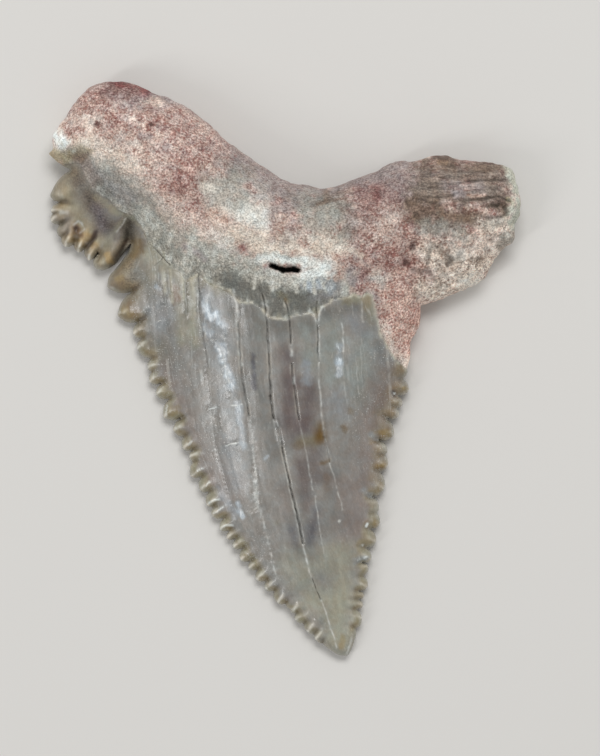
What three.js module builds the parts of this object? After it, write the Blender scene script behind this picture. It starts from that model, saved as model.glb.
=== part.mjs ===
// Fossil tooth of a coarsely serrated shark of the Palaeocarcharodon kind, in millimetres.
//
// The tooth lies on its flat labial face, at z = 0, with the domed lingual face up. +Y runs from
// the crown tip to the root and +X towards the shorter root lobe. Root, crown and side cusplet
// grew as one body, so they are one solid. It is made of two sheets of triangles, the lingual one
// above and the labial one below, which share the serrated outline as their rim.

import * as THREE from 'three';

// ---- Driving dimensions -----------------------------------------------------------------------

const TOOTH_LENGTH = 46; // along Y, crown tip to the top of the longer root lobe
const TOOTH_WIDTH = 37.75; // along X, across both root lobes
const TOOTH_THICKNESS = 8; // along Z, resting face to the highest part of the root

const ENAMEL_STEP = 0.22; // how far the enamel stands above the dental band and the bare root
const ENAMEL_STEP_WIDTH = 0.3;
const FORAMEN_DEPTH = 1.4;
const FORAMEN_HEIGHT = 0.44; // of the open slit, at its middle
const LABIAL_FURROW_DEPTH = 0.5; // hollow across the labial face, under the crown's upper edge
const LABIAL_FURROW_WIDTH = 4.5;
const ROOT_LUMPS = 90;
const ROOT_LUMP_HEIGHT = 0.16;
const ROOT_LUMP_RADIUS = 1.1;
const LOWEST_LUMP = 4; // y of the lumps nearest to the crown tip
const LUMP_SEED = 7;
const SERRATION_BOW = 0.14; // bulge of a serration's flank, as a share of the flank's length
const SERRATION_BOW_LIMIT = 0.25;

// Lengths of the triangles' sides.
const CURVE_STEP = 0.65; // along the smooth parts of the outline
const FLANK_STEP = 0.6; // along the flanks of the serrations
const LINGUAL_STEP = 0.54;
const LABIAL_STEP = 1.1;

// How far inside the outline the rows of points run: next to the thick, rounded edges of the root
// and next to the thin cutting edges.
const THICK_EDGE_INSETS = [0.07, 0.28, 0.75];
const THIN_EDGE_INSETS = [0.28];
const LEAST_RISE = 0.15; // of the lingual face above the rim

// Each kind of edge: the height of the rim above the resting face, and how far in from the rim
// the lingual and the labial face take to round over into it.
const ROOT_EDGE = { height: 2.6, lingualRoll: 3.2, labialRoll: 2.6 };
const SHOULDER_EDGE = { height: 1.8, lingualRoll: 1.8, labialRoll: 1.8 };
const SPUR_EDGE = { height: 1.5, lingualRoll: 0.7, labialRoll: 1.8 };
const CUSPLET_EDGE = { height: 0.9, lingualRoll: 0.7, labialRoll: 2.5 };
const BLADE_EDGE = { height: 0.7, lingualRoll: 0.85, labialRoll: 3.0 };
const EDGE_BLEND = 0.5; // over this length one kind of edge passes into the next

// ---- Outline, clockwise seen from above, [x, y] -------------------------------------------------

const BASAL_MARGIN = [
  [-18.45, 17.6], [-18.5, 18.35], [-18.2, 19.15], [-17.4, 20.2], [-16.35, 21.8], [-15.5, 22.5],
  [-14.45, 22.9], [-13.25, 23], [-12.05, 22.8], [-10.75, 22.25], [-9, 21.6], [-7.55, 20.8],
  [-6.1, 19.7], [-4.5, 18.25], [-3.1, 17.2], [-1.65, 16.2], [0.05, 15.1], [1.65, 14.75],
  [3.55, 14.5], [5.25, 15.05], [7, 15.7], [8.7, 16.55], [10.7, 16.7], [11.65, 17],
  [12.9, 17.1], [13.9, 16.8], [15.5, 16.6], [16.75, 16.5], [18.2, 15.95], [18.5, 15.15],
  [18.75, 14.2], [18.9, 13.05], [18.7, 11.85], [18.3, 11.15], [18.55, 10.5], [17.9, 9.85],
];
const BROKEN_SHOULDER = [
  [17.9, 9.85], [17.25, 9.3], [16.5, 8.2], [16.05, 7.3], [15, 6.6], [13.8, 6.1], [12.7, 5.6],
  [11.15, 5.15], [10.9, 4.8], [10.95, 4.1], [10.7, 3.2], [10.15, 2.1], [10.1, 0.9],
  [9.9, 0.35], [9.9, -0.4], [9.6, -0.75],
];
const CROWN_TIP = [
  [5.8, -20.75], [5.8, -21.2], [5.6, -21.9], [5.4, -22.45], [5.2, -22.85], [4.9, -23],
  [4.45, -22.9], [3.8, -22.55], [3.05, -21.95],
];
const CLEFT = [[-12.3, 10.05], [-12.4, 9.6], [-12.95, 8.8], [-13.6, 8.0]];
const CUSPLET_APEX = [
  [-14.95, 9.3], [-15.25, 8.9], [-15.3, 8.5], [-15.1, 8.1], [-14.75, 7.95], [-14.1, 8.1],
  [-13.5, 8.5], [-13.05, 9.1], [-12.3, 10.05],
];
const SPUR = [
  [-18.45, 17.6], [-18.5, 17.45], [-18.85, 17.2], [-18.6, 16.9], [-17.95, 16.45], [-17.2, 15.95],
];

// The serrations of each cutting edge, from the root down: [tip x, tip y, notch x, notch y], with
// the notch that follows the tip.
const DISTAL_SERRATIONS = [
  [10, -1.7, 9.2, -2.1], [9.5, -2.8, 9.1, -3.1], [9.2, -3.75, 8.3, -3.95],
  [8.8, -5.25, 7.65, -5.7], [8.3, -6.45, 8.1, -6.85], [8.3, -7.8, 7.7, -8.2],
  [8.05, -9.55, 7.1, -10.2], [7.6, -10.95, 7.45, -11.5], [7.65, -12.45, 6.95, -12.8],
  [7.4, -13.8, 6.65, -14.3], [7, -15.2, 6.3, -15.5], [6.75, -15.8, 6.45, -16.55],
  [6.7, -17.45, 6.1, -17.75], [6.45, -18.15, 6.05, -18.45], [6.35, -18.9, 5.9, -19.25],
  [6.2, -20.3, 5.8, -20.75],
];
const MESIAL_SERRATIONS = [
  [-14.15, 6.6, -12.3, 6.2], [-13.35, 4.35, -11.85, 3.75], [-12.1, 2.9, -11.5, 2.45],
  [-11.8, 1.7, -10.75, 0.85], [-10.95, 0.2, -10.65, -0.2], [-10.8, -1, -9.9, -1.15],
  [-10.3, -2, -9.3, -2.4], [-9.65, -3.8, -8.35, -3.95], [-8.9, -4.85, -8.1, -5.4],
  [-8.1, -6.35, -7.4, -6.5], [-7.6, -6.95, -7.35, -7.4], [-7.45, -8.55, -6.7, -8.65],
  [-6.75, -9.65, -6.1, -9.85], [-6.2, -10.85, -5.75, -11.05], [-5.75, -11.75, -4.9, -11.95],
  [-5.15, -12.8, -4.45, -12.95], [-4.6, -13.55, -3.95, -13.6], [-4.1, -14.25, -3.4, -14.4],
  [-3.5, -15.25, -2.75, -15.4], [-2.85, -15.95, -2.2, -16.1], [-2.2, -16.85, -1.5, -17],
  [-1.5, -17.6, -0.85, -17.8], [-0.55, -18.7, 0.1, -18.8], [0.45, -19.2, 0.9, -19.6],
  [0.9, -20.05, 1.55, -20.4], [1.85, -21, 2.35, -21.25], [2.8, -21.9, 3.05, -21.95],
];
const CUSPLET_SERRATIONS = [
  [-18.75, 13.95, -18.1, 13.4], [-18.7, 12.75, -18.55, 12.5], [-18.7, 11.9, -18.05, 11.6],
  [-18.2, 10.95, -17.9, 10.6], [-17.55, 9.85, -16.9, 10], [-16.5, 9.4, -16.05, 9.6],
  [-15.65, 8.75, -14.95, 9.3],
];

// ---- Lingual relief ----------------------------------------------------------------------------

// Heights of the lingual face above the resting face, before it rounds over into the rim:
// [x, y, height].
const ROOT_RIDGE = [
  [-16.6, 20.4, 5.0], [-13.2, 19.4, 6.0], [-9.5, 16.8, 6.7], [-5.5, 13.6, 7.3], [-1.5, 11.6, 7.9],
  [2.5, 11.2, 8.0], [6.5, 12.2, 7.3], [11, 13.6, 6.5], [15.5, 13.6, 5.8], [18.2, 13.4, 5.1],
];
const BASAL_FACE = [
  [-17.8, 18.6, 4.4], [-13.2, 22.6, 4.8], [-6.3, 19.6, 5.3], [0.5, 14.8, 6.4], [3.5, 14.4, 6.3],
  [9.4, 16.4, 5.4], [14.5, 16.6, 5.0], [18, 15.8, 4.5],
];
const DENTAL_BAND = [
  [-16.6, 16.9, 3.7], [-12.5, 13.6, 4.6], [-8, 10, 5.4], [-3, 8.2, 6.1], [2, 7.2, 6.4],
  [6, 7.6, 6.0],
];
const CROWN_DOME = [
  [-11.2, 10.8, 3.1], [-8.3, 7.8, 4.1], [-3.5, 5.2, 5.1], [1.5, 4.2, 5.5], [6.4, 5.2, 4.9],
  [-6.5, 0, 3.4], [-2, 0, 4.7], [2, 0, 5.1], [6, 0, 4.3],
  [-5, -5, 3.0], [0, -5, 4.3], [3, -5, 4.4], [6, -5, 3.2],
  [-3, -10, 2.6], [1.5, -10, 3.6], [5, -10, 2.9],
  [0, -15, 2.2], [3, -15, 2.8], [5, -15, 2.2],
  [3.2, -20, 1.8], [4.8, -20, 1.6], [4.9, -23, 1.0],
];
const BLADE_SHOULDERS = [
  [-12.8, 6.8, 1.7], [-11, 2, 1.3], [-9.5, -2.5, 1.2], [-7.4, -7, 1.2], [-5, -12, 1.15],
  [-2.3, -16, 1.15], [1, -20, 1.1],
  [9.5, -0.8, 1.9], [8.5, -5, 1.3], [7.5, -10, 1.25], [6.7, -15, 1.15], [6, -19.5, 1.1],
];
const CUSPLET_FACE = [
  [-18.3, 16.7, 2.4], [-17.3, 15, 2.4], [-18.2, 13, 1.5], [-16.3, 12.6, 2.2], [-17.6, 10.6, 1.4],
  [-15.2, 10.6, 1.9], [-14.4, 8.6, 1.5], [-12.9, 11.4, 2.3],
];
const BROKEN_LOBE = [
  [12, 9.5, 5.4], [16.5, 9.5, 3.9], [13.5, 6.6, 3.5], [10.4, 4.2, 3.1], [9.9, 1, 2.3],
  [8.5, 3.5, 3.9],
];

// Upper edge of the enamel, scalloped, from the cusplet to where the crown's shoulder broke away.
const ENAMEL_EDGE = [
  [-16.35, 16.35], [-15.3, 14.35], [-14.1, 13.55], [-13.15, 12.6], [-12.1, 12.25],
  [-11.55, 11.55], [-10.75, 9.95], [-9.95, 9.4], [-9.55, 8.6], [-8.2, 7.8], [-7.8, 7.05],
  [-6.9, 7.55], [-5.5, 6.65], [-4.3, 6.25], [-3.55, 5.3], [-2.5, 5.3], [-1.7, 4.75],
  [-1.3, 4.1], [0.1, 3.95], [1.95, 4.5], [2.7, 3.7], [2.9, 4.9], [3.95, 5.55], [5.55, 6],
  [6.5, 6.1], [7, 5.85], [7.3, 4.25], [7.7, 2.65], [8.45, 1.3], [9.25, 0.35], [9.9, 0],
];

// Corners beyond the outline that close the enamel's edge into the area of the crown.
const CROWN_SURROUND = [[30, 0], [30, -40], [-40, -40], [-40, 16.35]];

// The slit of the nutrient foramen in the middle of the root, from one end to the other.
const FORAMEN = [[-1.1, 8.3], [-0.35, 8.05], [1.15, 7.8]];
const FORAMEN_STATIONS = 6;

// Furrows: folds behind the cusplet's serrations, and the eroded grain of the shorter lobe.
const FURROWS = [
  { from: [-12.3, 10.05], to: [-12.0, 11.9], depth: 0.9, width: 0.7 },
  { from: [-16.9, 10], to: [-16.35, 11.45], depth: 0.45, width: 0.45 },
  { from: [-16.05, 9.6], to: [-15, 10.65], depth: 0.55, width: 0.45 },
  { from: [-14.95, 9.3], to: [-13.8, 11], depth: 0.5, width: 0.5 },
  { from: [11.8, 14.9], to: [18.1, 14.8], depth: 0.3, width: 0.45 },
  { from: [13.6, 13.6], to: [17.8, 13.2], depth: 0.3, width: 0.45 },
];

// Ends of the shallow hollow in the labial face.
const LABIAL_FURROW = [[-10, 12], [9, 9.5]];

// Pits in the bare root: [x, y, radius, depth].
const PITS = [
  [-14.9, 19.4, 0.6, 0.35], [-10.5, 19.4, 0.45, 0.25], [10.1, 9.7, 0.7, 0.35],
  [9.6, 8.3, 0.6, 0.3], [17.1, 12.7, 0.8, 0.4],
];

// ---- Plane geometry ----------------------------------------------------------------------------

const vector = ([x, y]) => new THREE.Vector2(x, y);

function distanceToSegment(point, start, end) {
  const along = end.clone().sub(start);
  const share = point.clone().sub(start).dot(along) / along.lengthSq();
  return point.distanceTo(start.clone().addScaledVector(along, THREE.MathUtils.clamp(share, 0, 1)));
}

function turn(a, b, c) {
  return (b.x - a.x) * (c.y - a.y) - (b.y - a.y) * (c.x - a.x);
}

function distanceToOutline(point, outline) {
  let nearest = Infinity;
  outline.forEach((start, i) => {
    const end = outline[(i + 1) % outline.length];
    nearest = Math.min(nearest, distanceToSegment(point, start, end));
  });
  return nearest;
}

function isInside(point, outline) {
  let inside = false;
  outline.forEach((start, i) => {
    const end = outline[(i + 1) % outline.length];
    const rises = end.y > start.y;
    const crosses = (start.y > point.y) !== (end.y > point.y);
    if (crosses && (turn(start, end, point) > 0) === rises) inside = !inside;
  });
  return inside;
}

// ---- Outline -----------------------------------------------------------------------------------

function smoothRun(knots, edge) {
  const curve = new THREE.SplineCurve(knots.map(vector));
  const count = Math.ceil(curve.getLength() / CURVE_STEP);
  return curve.getSpacedPoints(count).map((point) => ({ point, edge }));
}

// Points between the ends of a serration's flank, bulging to the given side of it.
function bowedFlank(start, end, side) {
  const along = end.clone().sub(start);
  const length = along.length();
  const outward = new THREE.Vector2(-along.y, along.x).multiplyScalar(side / length);
  const bow = Math.min(length * SERRATION_BOW, SERRATION_BOW_LIMIT);
  const count = Math.max(1, Math.round(length / FLANK_STEP));
  const points = [];
  for (let i = 1; i <= count; i += 1) {
    const share = i / (count + 1);
    const bulge = outward.clone().multiplyScalar(bow * Math.sin(Math.PI * share));
    points.push(start.clone().addScaledVector(along, share).add(bulge));
  }
  return points;
}

function serratedRun(start, serrations, side, edge) {
  let notch = vector(start);
  const points = [notch];
  for (const [tipX, tipY, notchX, notchY] of serrations) {
    const tip = new THREE.Vector2(tipX, tipY);
    const nextNotch = new THREE.Vector2(notchX, notchY);
    points.push(...bowedFlank(notch, tip, side), tip);
    points.push(...bowedFlank(tip, nextNotch, side), nextNotch);
    notch = nextNotch;
  }
  return points.map((point) => ({ point, edge }));
}

function makeOutline() {
  const runs = [
    smoothRun(BASAL_MARGIN, ROOT_EDGE),
    smoothRun(BROKEN_SHOULDER, SHOULDER_EDGE),
    serratedRun(BROKEN_SHOULDER.at(-1), DISTAL_SERRATIONS, 1, BLADE_EDGE),
    smoothRun(CROWN_TIP, BLADE_EDGE),
    serratedRun(CLEFT.at(-1), MESIAL_SERRATIONS, -1, BLADE_EDGE).reverse(),
    smoothRun(CLEFT, BLADE_EDGE).reverse(),
    smoothRun(CUSPLET_APEX, CUSPLET_EDGE).reverse(),
    serratedRun(SPUR.at(-1), CUSPLET_SERRATIONS, -1, CUSPLET_EDGE).reverse(),
    smoothRun(SPUR, SPUR_EDGE).reverse(),
  ];
  return runs.flatMap((run) => run.slice(0, -1));
}

// ---- Heights -----------------------------------------------------------------------------------

// Thin-plate surface through spot heights, which gives the height at any point of the plane.
function fitSurface(spots) {
  const count = spots.length;
  const size = count + 3;
  const kernel = (squared) => (squared > 0 ? squared * Math.log(squared) : 0);
  const basis = ({ x, y }) => [
    ...spots.map(([spotX, spotY]) => kernel((x - spotX) ** 2 + (y - spotY) ** 2)),
    1, x, y,
  ];
  const rows = spots.map(([x, y, height]) => [...basis({ x, y }), height]);
  for (const term of [() => 1, ([x]) => x, ([, y]) => y]) {
    rows.push([...spots.map(term), 0, 0, 0, 0]);
  }
  const weights = solve(rows, size);
  return (point) => basis(point).reduce((sum, value, i) => sum + value * weights[i], 0);
}

// Gauss-Jordan elimination of the linear equations in rows, each with its right-hand side last.
function solve(rows, size) {
  for (let column = 0; column < size; column += 1) {
    let pivot = column;
    for (let row = column; row < size; row += 1) {
      if (Math.abs(rows[row][column]) > Math.abs(rows[pivot][column])) pivot = row;
    }
    [rows[column], rows[pivot]] = [rows[pivot], rows[column]];
    for (let row = 0; row < size; row += 1) {
      if (row === column) continue;
      const factor = rows[row][column] / rows[column][column];
      for (let i = column; i <= size; i += 1) rows[row][i] -= factor * rows[column][i];
    }
  }
  return rows.map((row, i) => row[size] / row[i]);
}

// The kind of edge that governs a point, blended between the edges around it.
function blendEdges(point, rim) {
  const blend = { height: 0, lingualRoll: 0, labialRoll: 0 };
  let total = 0;
  for (const { point: rimPoint, edge } of rim) {
    const weight = (point.distanceToSquared(rimPoint) + EDGE_BLEND ** 2) ** -2;
    total += weight;
    for (const key of Object.keys(blend)) blend[key] += weight * edge[key];
  }
  for (const key of Object.keys(blend)) blend[key] /= total;
  return blend;
}

// Quarter-ellipse profile: 0 at the rim, 1 at the given distance from it and further in.
function rollOver(distance, roll) {
  const remaining = 1 - Math.min(distance / roll, 1);
  return Math.sqrt(1 - remaining ** 2);
}

// How far a point lies on the crown's side of the enamel's upper edge; negative on the root.
function distanceIntoEnamel(point) {
  let nearest = Infinity;
  for (let i = 1; i < enamelEdge.length; i += 1) {
    nearest = Math.min(nearest, distanceToSegment(point, enamelEdge[i - 1], enamelEdge[i]));
  }
  return isInside(point, enamelArea) ? nearest : -nearest;
}

function furrowDepth(point) {
  let depth = 0;
  for (const furrow of FURROWS) {
    const distance = distanceToSegment(point, vector(furrow.from), vector(furrow.to));
    depth += furrow.depth * Math.exp(-((distance / furrow.width) ** 2));
  }
  return depth;
}

function pitDepth(point) {
  let depth = 0;
  for (const [x, y, radius, pit] of PITS) {
    const distance = Math.hypot(point.x - x, point.y - y);
    depth += pit * Math.exp(-((distance / radius) ** 2));
  }
  return depth;
}

// Low swells and hollows strewn over the porous root by a seeded random sequence.
function strewLumps() {
  const multiplier = 16807;
  const modulus = 2 ** 31 - 1;
  let seed = LUMP_SEED;
  const random = () => {
    seed = (seed * multiplier) % modulus;
    return seed / modulus;
  };
  return Array.from({ length: ROOT_LUMPS }, () => ({
    x: TOOTH_WIDTH * (random() - 0.5),
    y: THREE.MathUtils.lerp(LOWEST_LUMP, TOOTH_LENGTH / 2, random()),
    radius: ROOT_LUMP_RADIUS * (0.6 + random()),
    height: ROOT_LUMP_HEIGHT * (2 * random() - 1),
  }));
}

function lumpHeight(point) {
  return lumps.reduce((sum, { x, y, radius, height }) =>
    sum + height * Math.exp(-((point.x - x) ** 2 + (point.y - y) ** 2) / radius ** 2), 0);
}

// The hollow across the labial face, between the crown's upper edge and the root lobes.
function labialFurrow(point) {
  const [start, end] = LABIAL_FURROW.map(vector);
  const distance = distanceToSegment(point, start, end);
  return LABIAL_FURROW_DEPTH * Math.exp(-((distance / (LABIAL_FURROW_WIDTH / 2)) ** 2));
}

const enamelEdge = ENAMEL_EDGE.map(vector);
const enamelArea = [...enamelEdge, ...CROWN_SURROUND.map(vector)];
const lumps = strewLumps();
const surveyedHeight = fitSurface([
  ...ROOT_RIDGE, ...BASAL_FACE, ...DENTAL_BAND, ...CROWN_DOME, ...BLADE_SHOULDERS,
  ...CUSPLET_FACE, ...BROKEN_LOBE,
]);

function lingualHeight(point, rimDistance, edge) {
  const enamel = distanceIntoEnamel(point);
  const half = ENAMEL_STEP_WIDTH / 2;
  const enamelShare = THREE.MathUtils.smoothstep(enamel, -half, half);
  const weathering = (lumpHeight(point) - pitDepth(point)) * (1 - enamelShare);
  const full = surveyedHeight(point) + weathering - furrowDepth(point) + ENAMEL_STEP * enamelShare;
  const rise = Math.max(full - edge.height, LEAST_RISE);
  return edge.height + rise * rollOver(rimDistance, edge.lingualRoll);
}

function labialHeight(point, rimDistance, edge) {
  const inward = rollOver(rimDistance, edge.labialRoll);
  return edge.height * (1 - inward) + labialFurrow(point) * inward;
}

// ---- Points inside the outline -----------------------------------------------------------------

// Adds the rows of points that run inside the outline, along its thick or its thin edges.
function keepRows(rim, kept, gap) {
  const outline = rim.map(({ point }) => point);
  const isThick = (edge) => edge === ROOT_EDGE || edge === SHOULDER_EDGE;
  for (const [thick, insets] of [[true, THICK_EDGE_INSETS], [false, THIN_EDGE_INSETS]]) {
    for (const inset of insets) {
      const row = [];
      rim.forEach(({ point, edge }, i) => {
        if (isThick(edge) !== thick) return;
        const along = outline[(i + 1) % outline.length].clone().sub(outline.at(i - 1)).normalize();
        row.push(point.clone().add(new THREE.Vector2(along.y, -along.x).multiplyScalar(inset)));
      });
      const rowGap = Math.min(gap, inset * 1.2);
      keepSpaced(row, kept, outline, { clearance: inset * 0.8, gap: rowGap });
    }
  }
}

function hexagonalGrid(outline, step) {
  const box = new THREE.Box2().setFromPoints(outline);
  const rowHeight = (step * Math.sqrt(3)) / 2;
  const points = [];
  for (let row = 0; box.min.y + row * rowHeight < box.max.y; row += 1) {
    const shift = (row % 2) * (step / 2);
    for (let x = box.min.x + shift; x < box.max.x; x += step) {
      points.push(new THREE.Vector2(x, box.min.y + row * rowHeight));
    }
  }
  return points;
}

// Points along both sides of the enamel's edge, at the foot and at the top of its step.
function enamelStepPoints() {
  const points = [];
  for (let i = 1; i < ENAMEL_EDGE.length; i += 1) {
    const start = vector(ENAMEL_EDGE[i - 1]);
    const along = vector(ENAMEL_EDGE[i]).sub(start);
    const across = new THREE.Vector2(-along.y, along.x).setLength(ENAMEL_STEP_WIDTH / 2);
    const middle = start.addScaledVector(along, 0.5);
    points.push(middle.clone().add(across), middle.clone().sub(across));
  }
  return points;
}

// Keeps the points that lie inside the outline, clear of it and of the points kept before them.
function keepSpaced(candidates, kept, outline, { clearance, gap }) {
  for (const point of candidates) {
    const crowded = kept.some((other) => other.distanceTo(point) < gap);
    if (crowded || !isInside(point, outline)) continue;
    if (distanceToOutline(point, outline) > clearance) kept.push(point);
  }
}

// Points of the foramen: along its two lips and, between them, along its floor.
function foramenPoints() {
  const spine = new THREE.SplineCurve(FORAMEN.map(vector));
  const lips = [spine.getPoint(0), spine.getPoint(1)];
  const floor = [];
  for (let station = 1; station < FORAMEN_STATIONS; station += 1) {
    const share = station / FORAMEN_STATIONS;
    const middle = spine.getPoint(share);
    const tangent = spine.getTangent(share);
    const reach = (FORAMEN_HEIGHT / 2) * Math.sqrt(1 - (2 * share - 1) ** 2);
    const across = new THREE.Vector2(-tangent.y, tangent.x).multiplyScalar(reach);
    floor.push(middle);
    lips.push(middle.clone().add(across), middle.clone().sub(across));
  }
  return { lips, floor };
}

function keepGrid(rim, kept, step) {
  const outline = rim.map(({ point }) => point);
  keepSpaced(hexagonalGrid(outline, step), kept, outline, { clearance: step * 0.4, gap: step * 0.65 });
}

function lingualPoints(rim, foramen) {
  const kept = [...foramen.floor, ...foramen.lips];
  const outline = rim.map(({ point }) => point);
  keepSpaced(enamelStepPoints(), kept, outline, { clearance: LINGUAL_STEP / 3, gap: LINGUAL_STEP / 2 });
  keepRows(rim, kept, LINGUAL_STEP / 2);
  keepGrid(rim, kept, LINGUAL_STEP);
  return kept;
}

function labialPoints(rim) {
  const kept = [];
  keepRows(rim, kept, LABIAL_STEP / 2);
  keepGrid(rim, kept, LABIAL_STEP);
  return kept;
}

// ---- Triangles ---------------------------------------------------------------------------------

function isInsideCircle(a, b, c, point) {
  const [p, q, r] = [a, b, c].map((corner) => corner.clone().sub(point));
  const minor = (u, v) => u.x * v.y - u.y * v.x;
  const lifted = p.lengthSq() * minor(q, r) + q.lengthSq() * minor(r, p) + r.lengthSq() * minor(p, q);
  return lifted > 1e-12;
}

// Delaunay triangles, anticlockwise, of a clockwise outline and the points inside it. Every side
// of the outline stays a side of a triangle.
function triangulate(outline, inner) {
  const points = [...outline, ...inner];
  const faces = [];
  const faceOfSide = new Map();
  const sideKey = (a, b) => a * points.length + b;
  const sides = ([a, b, c]) => [[a, b], [b, c], [c, a]];

  function setFace(index, corners) {
    faces[index] = corners;
    for (const [a, b] of sides(corners)) faceOfSide.set(sideKey(a, b), index);
  }

  // Turns the shared side of two triangles wherever the other diagonal suits them better.
  function flipSides(pending) {
    while (pending.length > 0) {
      const [a, b] = pending.pop();
      const face = faceOfSide.get(sideKey(a, b));
      const opposite = faceOfSide.get(sideKey(b, a));
      if (face === undefined || opposite === undefined) continue;
      const c = faces[face].find((corner) => corner !== a && corner !== b);
      const d = faces[opposite].find((corner) => corner !== a && corner !== b);
      if (!isInsideCircle(points[a], points[b], points[c], points[d])) continue;
      if (turn(points[c], points[a], points[d]) <= 0) continue;
      if (turn(points[d], points[b], points[c]) <= 0) continue;
      faceOfSide.delete(sideKey(a, b));
      faceOfSide.delete(sideKey(b, a));
      setFace(face, [c, a, d]);
      setFace(opposite, [d, b, c]);
      pending.push([a, d], [d, b], [b, c], [c, a]);
    }
  }

  for (const [a, b, c] of THREE.ShapeUtils.triangulateShape(outline, [])) {
    const anticlockwise = turn(points[a], points[b], points[c]) > 0;
    setFace(faces.length, anticlockwise ? [a, b, c] : [a, c, b]);
  }
  flipSides(faces.flatMap(sides));

  inner.forEach((point, i) => {
    const index = outline.length + i;
    const home = faces.findIndex((face) =>
      sides(face).every(([a, b]) => turn(points[a], points[b], point) >= 0));
    const [a, b, c] = faces[home];
    setFace(home, [a, b, index]);
    setFace(faces.length, [b, c, index]);
    setFace(faces.length, [c, a, index]);
    flipSides([[a, b], [b, c], [c, a]]);
  });
  return faces;
}

// ---- Solid -------------------------------------------------------------------------------------

// Raises the points of one face of the tooth to their heights.
function raise(points, outline, rim, height) {
  return points.map((point) => {
    const edge = blendEdges(point, rim);
    const z = height(point, distanceToOutline(point, outline), edge);
    return new THREE.Vector3(point.x, point.y, z);
  });
}

function makeToothGeometry() {
  const rim = makeOutline();
  const outline = rim.map(({ point }) => point);
  const foramen = foramenPoints();
  const upper = lingualPoints(rim, foramen);
  const lower = labialPoints(rim);

  const rimVertices = outline.map((point) => {
    const { height } = blendEdges(point, rim);
    return new THREE.Vector3(point.x, point.y, height);
  });
  const upperVertices = raise(upper, outline, rim, lingualHeight);
  for (const vertex of upperVertices.slice(0, foramen.floor.length)) vertex.z -= FORAMEN_DEPTH;
  const lowerVertices = raise(lower, outline, rim, labialHeight);

  const shift = upper.length;
  const isRim = (index) => index < outline.length;
  const lingualFaces = triangulate(outline, upper);
  const labialFaces = triangulate(outline, lower).map((face) =>
    face.map((index) => (isRim(index) ? index : index + shift)).reverse());

  const geometry = new THREE.BufferGeometry();
  geometry.setFromPoints([...rimVertices, ...upperVertices, ...lowerVertices]);
  geometry.setIndex([...lingualFaces, ...labialFaces].flat());
  return geometry;
}

// Brings the tooth to its driving size, centred on the origin and resting on z = 0.
function fitToSize(geometry) {
  geometry.computeBoundingBox();
  const { min, max } = geometry.boundingBox;
  geometry.translate(-(min.x + max.x) / 2, -(min.y + max.y) / 2, -min.z);
  const size = max.clone().sub(min);
  geometry.scale(TOOTH_WIDTH / size.x, TOOTH_LENGTH / size.y, TOOTH_THICKNESS / size.z);
  geometry.computeVertexNormals();
}

const geometry = makeToothGeometry();
fitToSize(geometry);

const material = new THREE.MeshStandardMaterial({ color: 0xb3a498, roughness: 0.5, metalness: 0 });
const tooth = new THREE.Mesh(geometry, material);
tooth.name = 'tooth';

const group = new THREE.Group();
group.add(tooth);

export default group;
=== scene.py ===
"""Fossil tooth of a coarsely serrated shark, lying on its labial face and seen from above.

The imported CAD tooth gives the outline, the rim's height and the large relief. This script lays a
finer skin over the same form, with the granular bone of the root, the broken edge of the enamel,
the cracks that run along the crown and the folds behind each serration, and paints it.

Plane sizes and places are in millimetres in the frame's own axes: +Y runs from the crown tip to
the root and +Z away from the resting face. Colours are written as 8-bit sRGB values.
"""

import math
from collections import namedtuple

import bpy
import numpy as np
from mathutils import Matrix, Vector, noise
from mathutils.bvhtree import BVHTree
from mathutils.geometry import delaunay_2d_cdt
from mathutils.kdtree import KDTree


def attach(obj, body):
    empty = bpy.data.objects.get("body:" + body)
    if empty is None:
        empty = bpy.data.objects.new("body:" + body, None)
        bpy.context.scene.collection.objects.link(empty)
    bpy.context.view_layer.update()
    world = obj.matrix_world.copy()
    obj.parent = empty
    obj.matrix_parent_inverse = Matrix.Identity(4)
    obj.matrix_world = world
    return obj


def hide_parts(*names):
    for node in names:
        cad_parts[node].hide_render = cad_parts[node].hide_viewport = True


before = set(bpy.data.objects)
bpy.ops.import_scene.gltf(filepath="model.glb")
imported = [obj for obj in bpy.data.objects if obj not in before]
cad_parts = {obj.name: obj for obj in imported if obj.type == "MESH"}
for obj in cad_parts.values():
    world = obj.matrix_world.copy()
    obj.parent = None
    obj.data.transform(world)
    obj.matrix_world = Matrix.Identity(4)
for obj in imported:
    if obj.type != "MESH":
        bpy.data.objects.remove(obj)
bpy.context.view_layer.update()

MM = 0.001  # metres in a millimetre

# ---- Sizes ---------------------------------------------------------------------------------------

LINGUAL_STEP = 0.115  # between the points of the upper skin
LABIAL_STEP = 0.28  # and of the face that the tooth lies on
OUTLINE_STEP = 0.15
RAGGED_EDGE = 0.12  # how far the worn edge of the root is nibbled in from its smooth outline
EDGE_INSETS = (0.02, 0.06, 0.12)  # rows of points just inside the outline
LINE_STEP = 0.12  # between the points along a crack or vein
LINE_OFFSETS = (0.0, 0.06, 0.13)  # of the rows of points on both sides of such a line
WOBBLE_STEP = 0.3  # between the bends of a crack
WOBBLE = 0.07  # how far a crack strays from its drawn line

# How far in from the rim each face takes to round over into it, by the height of the rim.
RIM_HEIGHTS = (0.68, 0.87, 1.46, 1.75, 2.52)
LINGUAL_ROLLS = (0.85, 0.7, 0.7, 1.8, 3.2)
LABIAL_ROLLS = (3.0, 2.5, 1.8, 1.8, 2.6)
RIM_BLEND = 0.5  # distance over which the rim's height is blended

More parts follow.
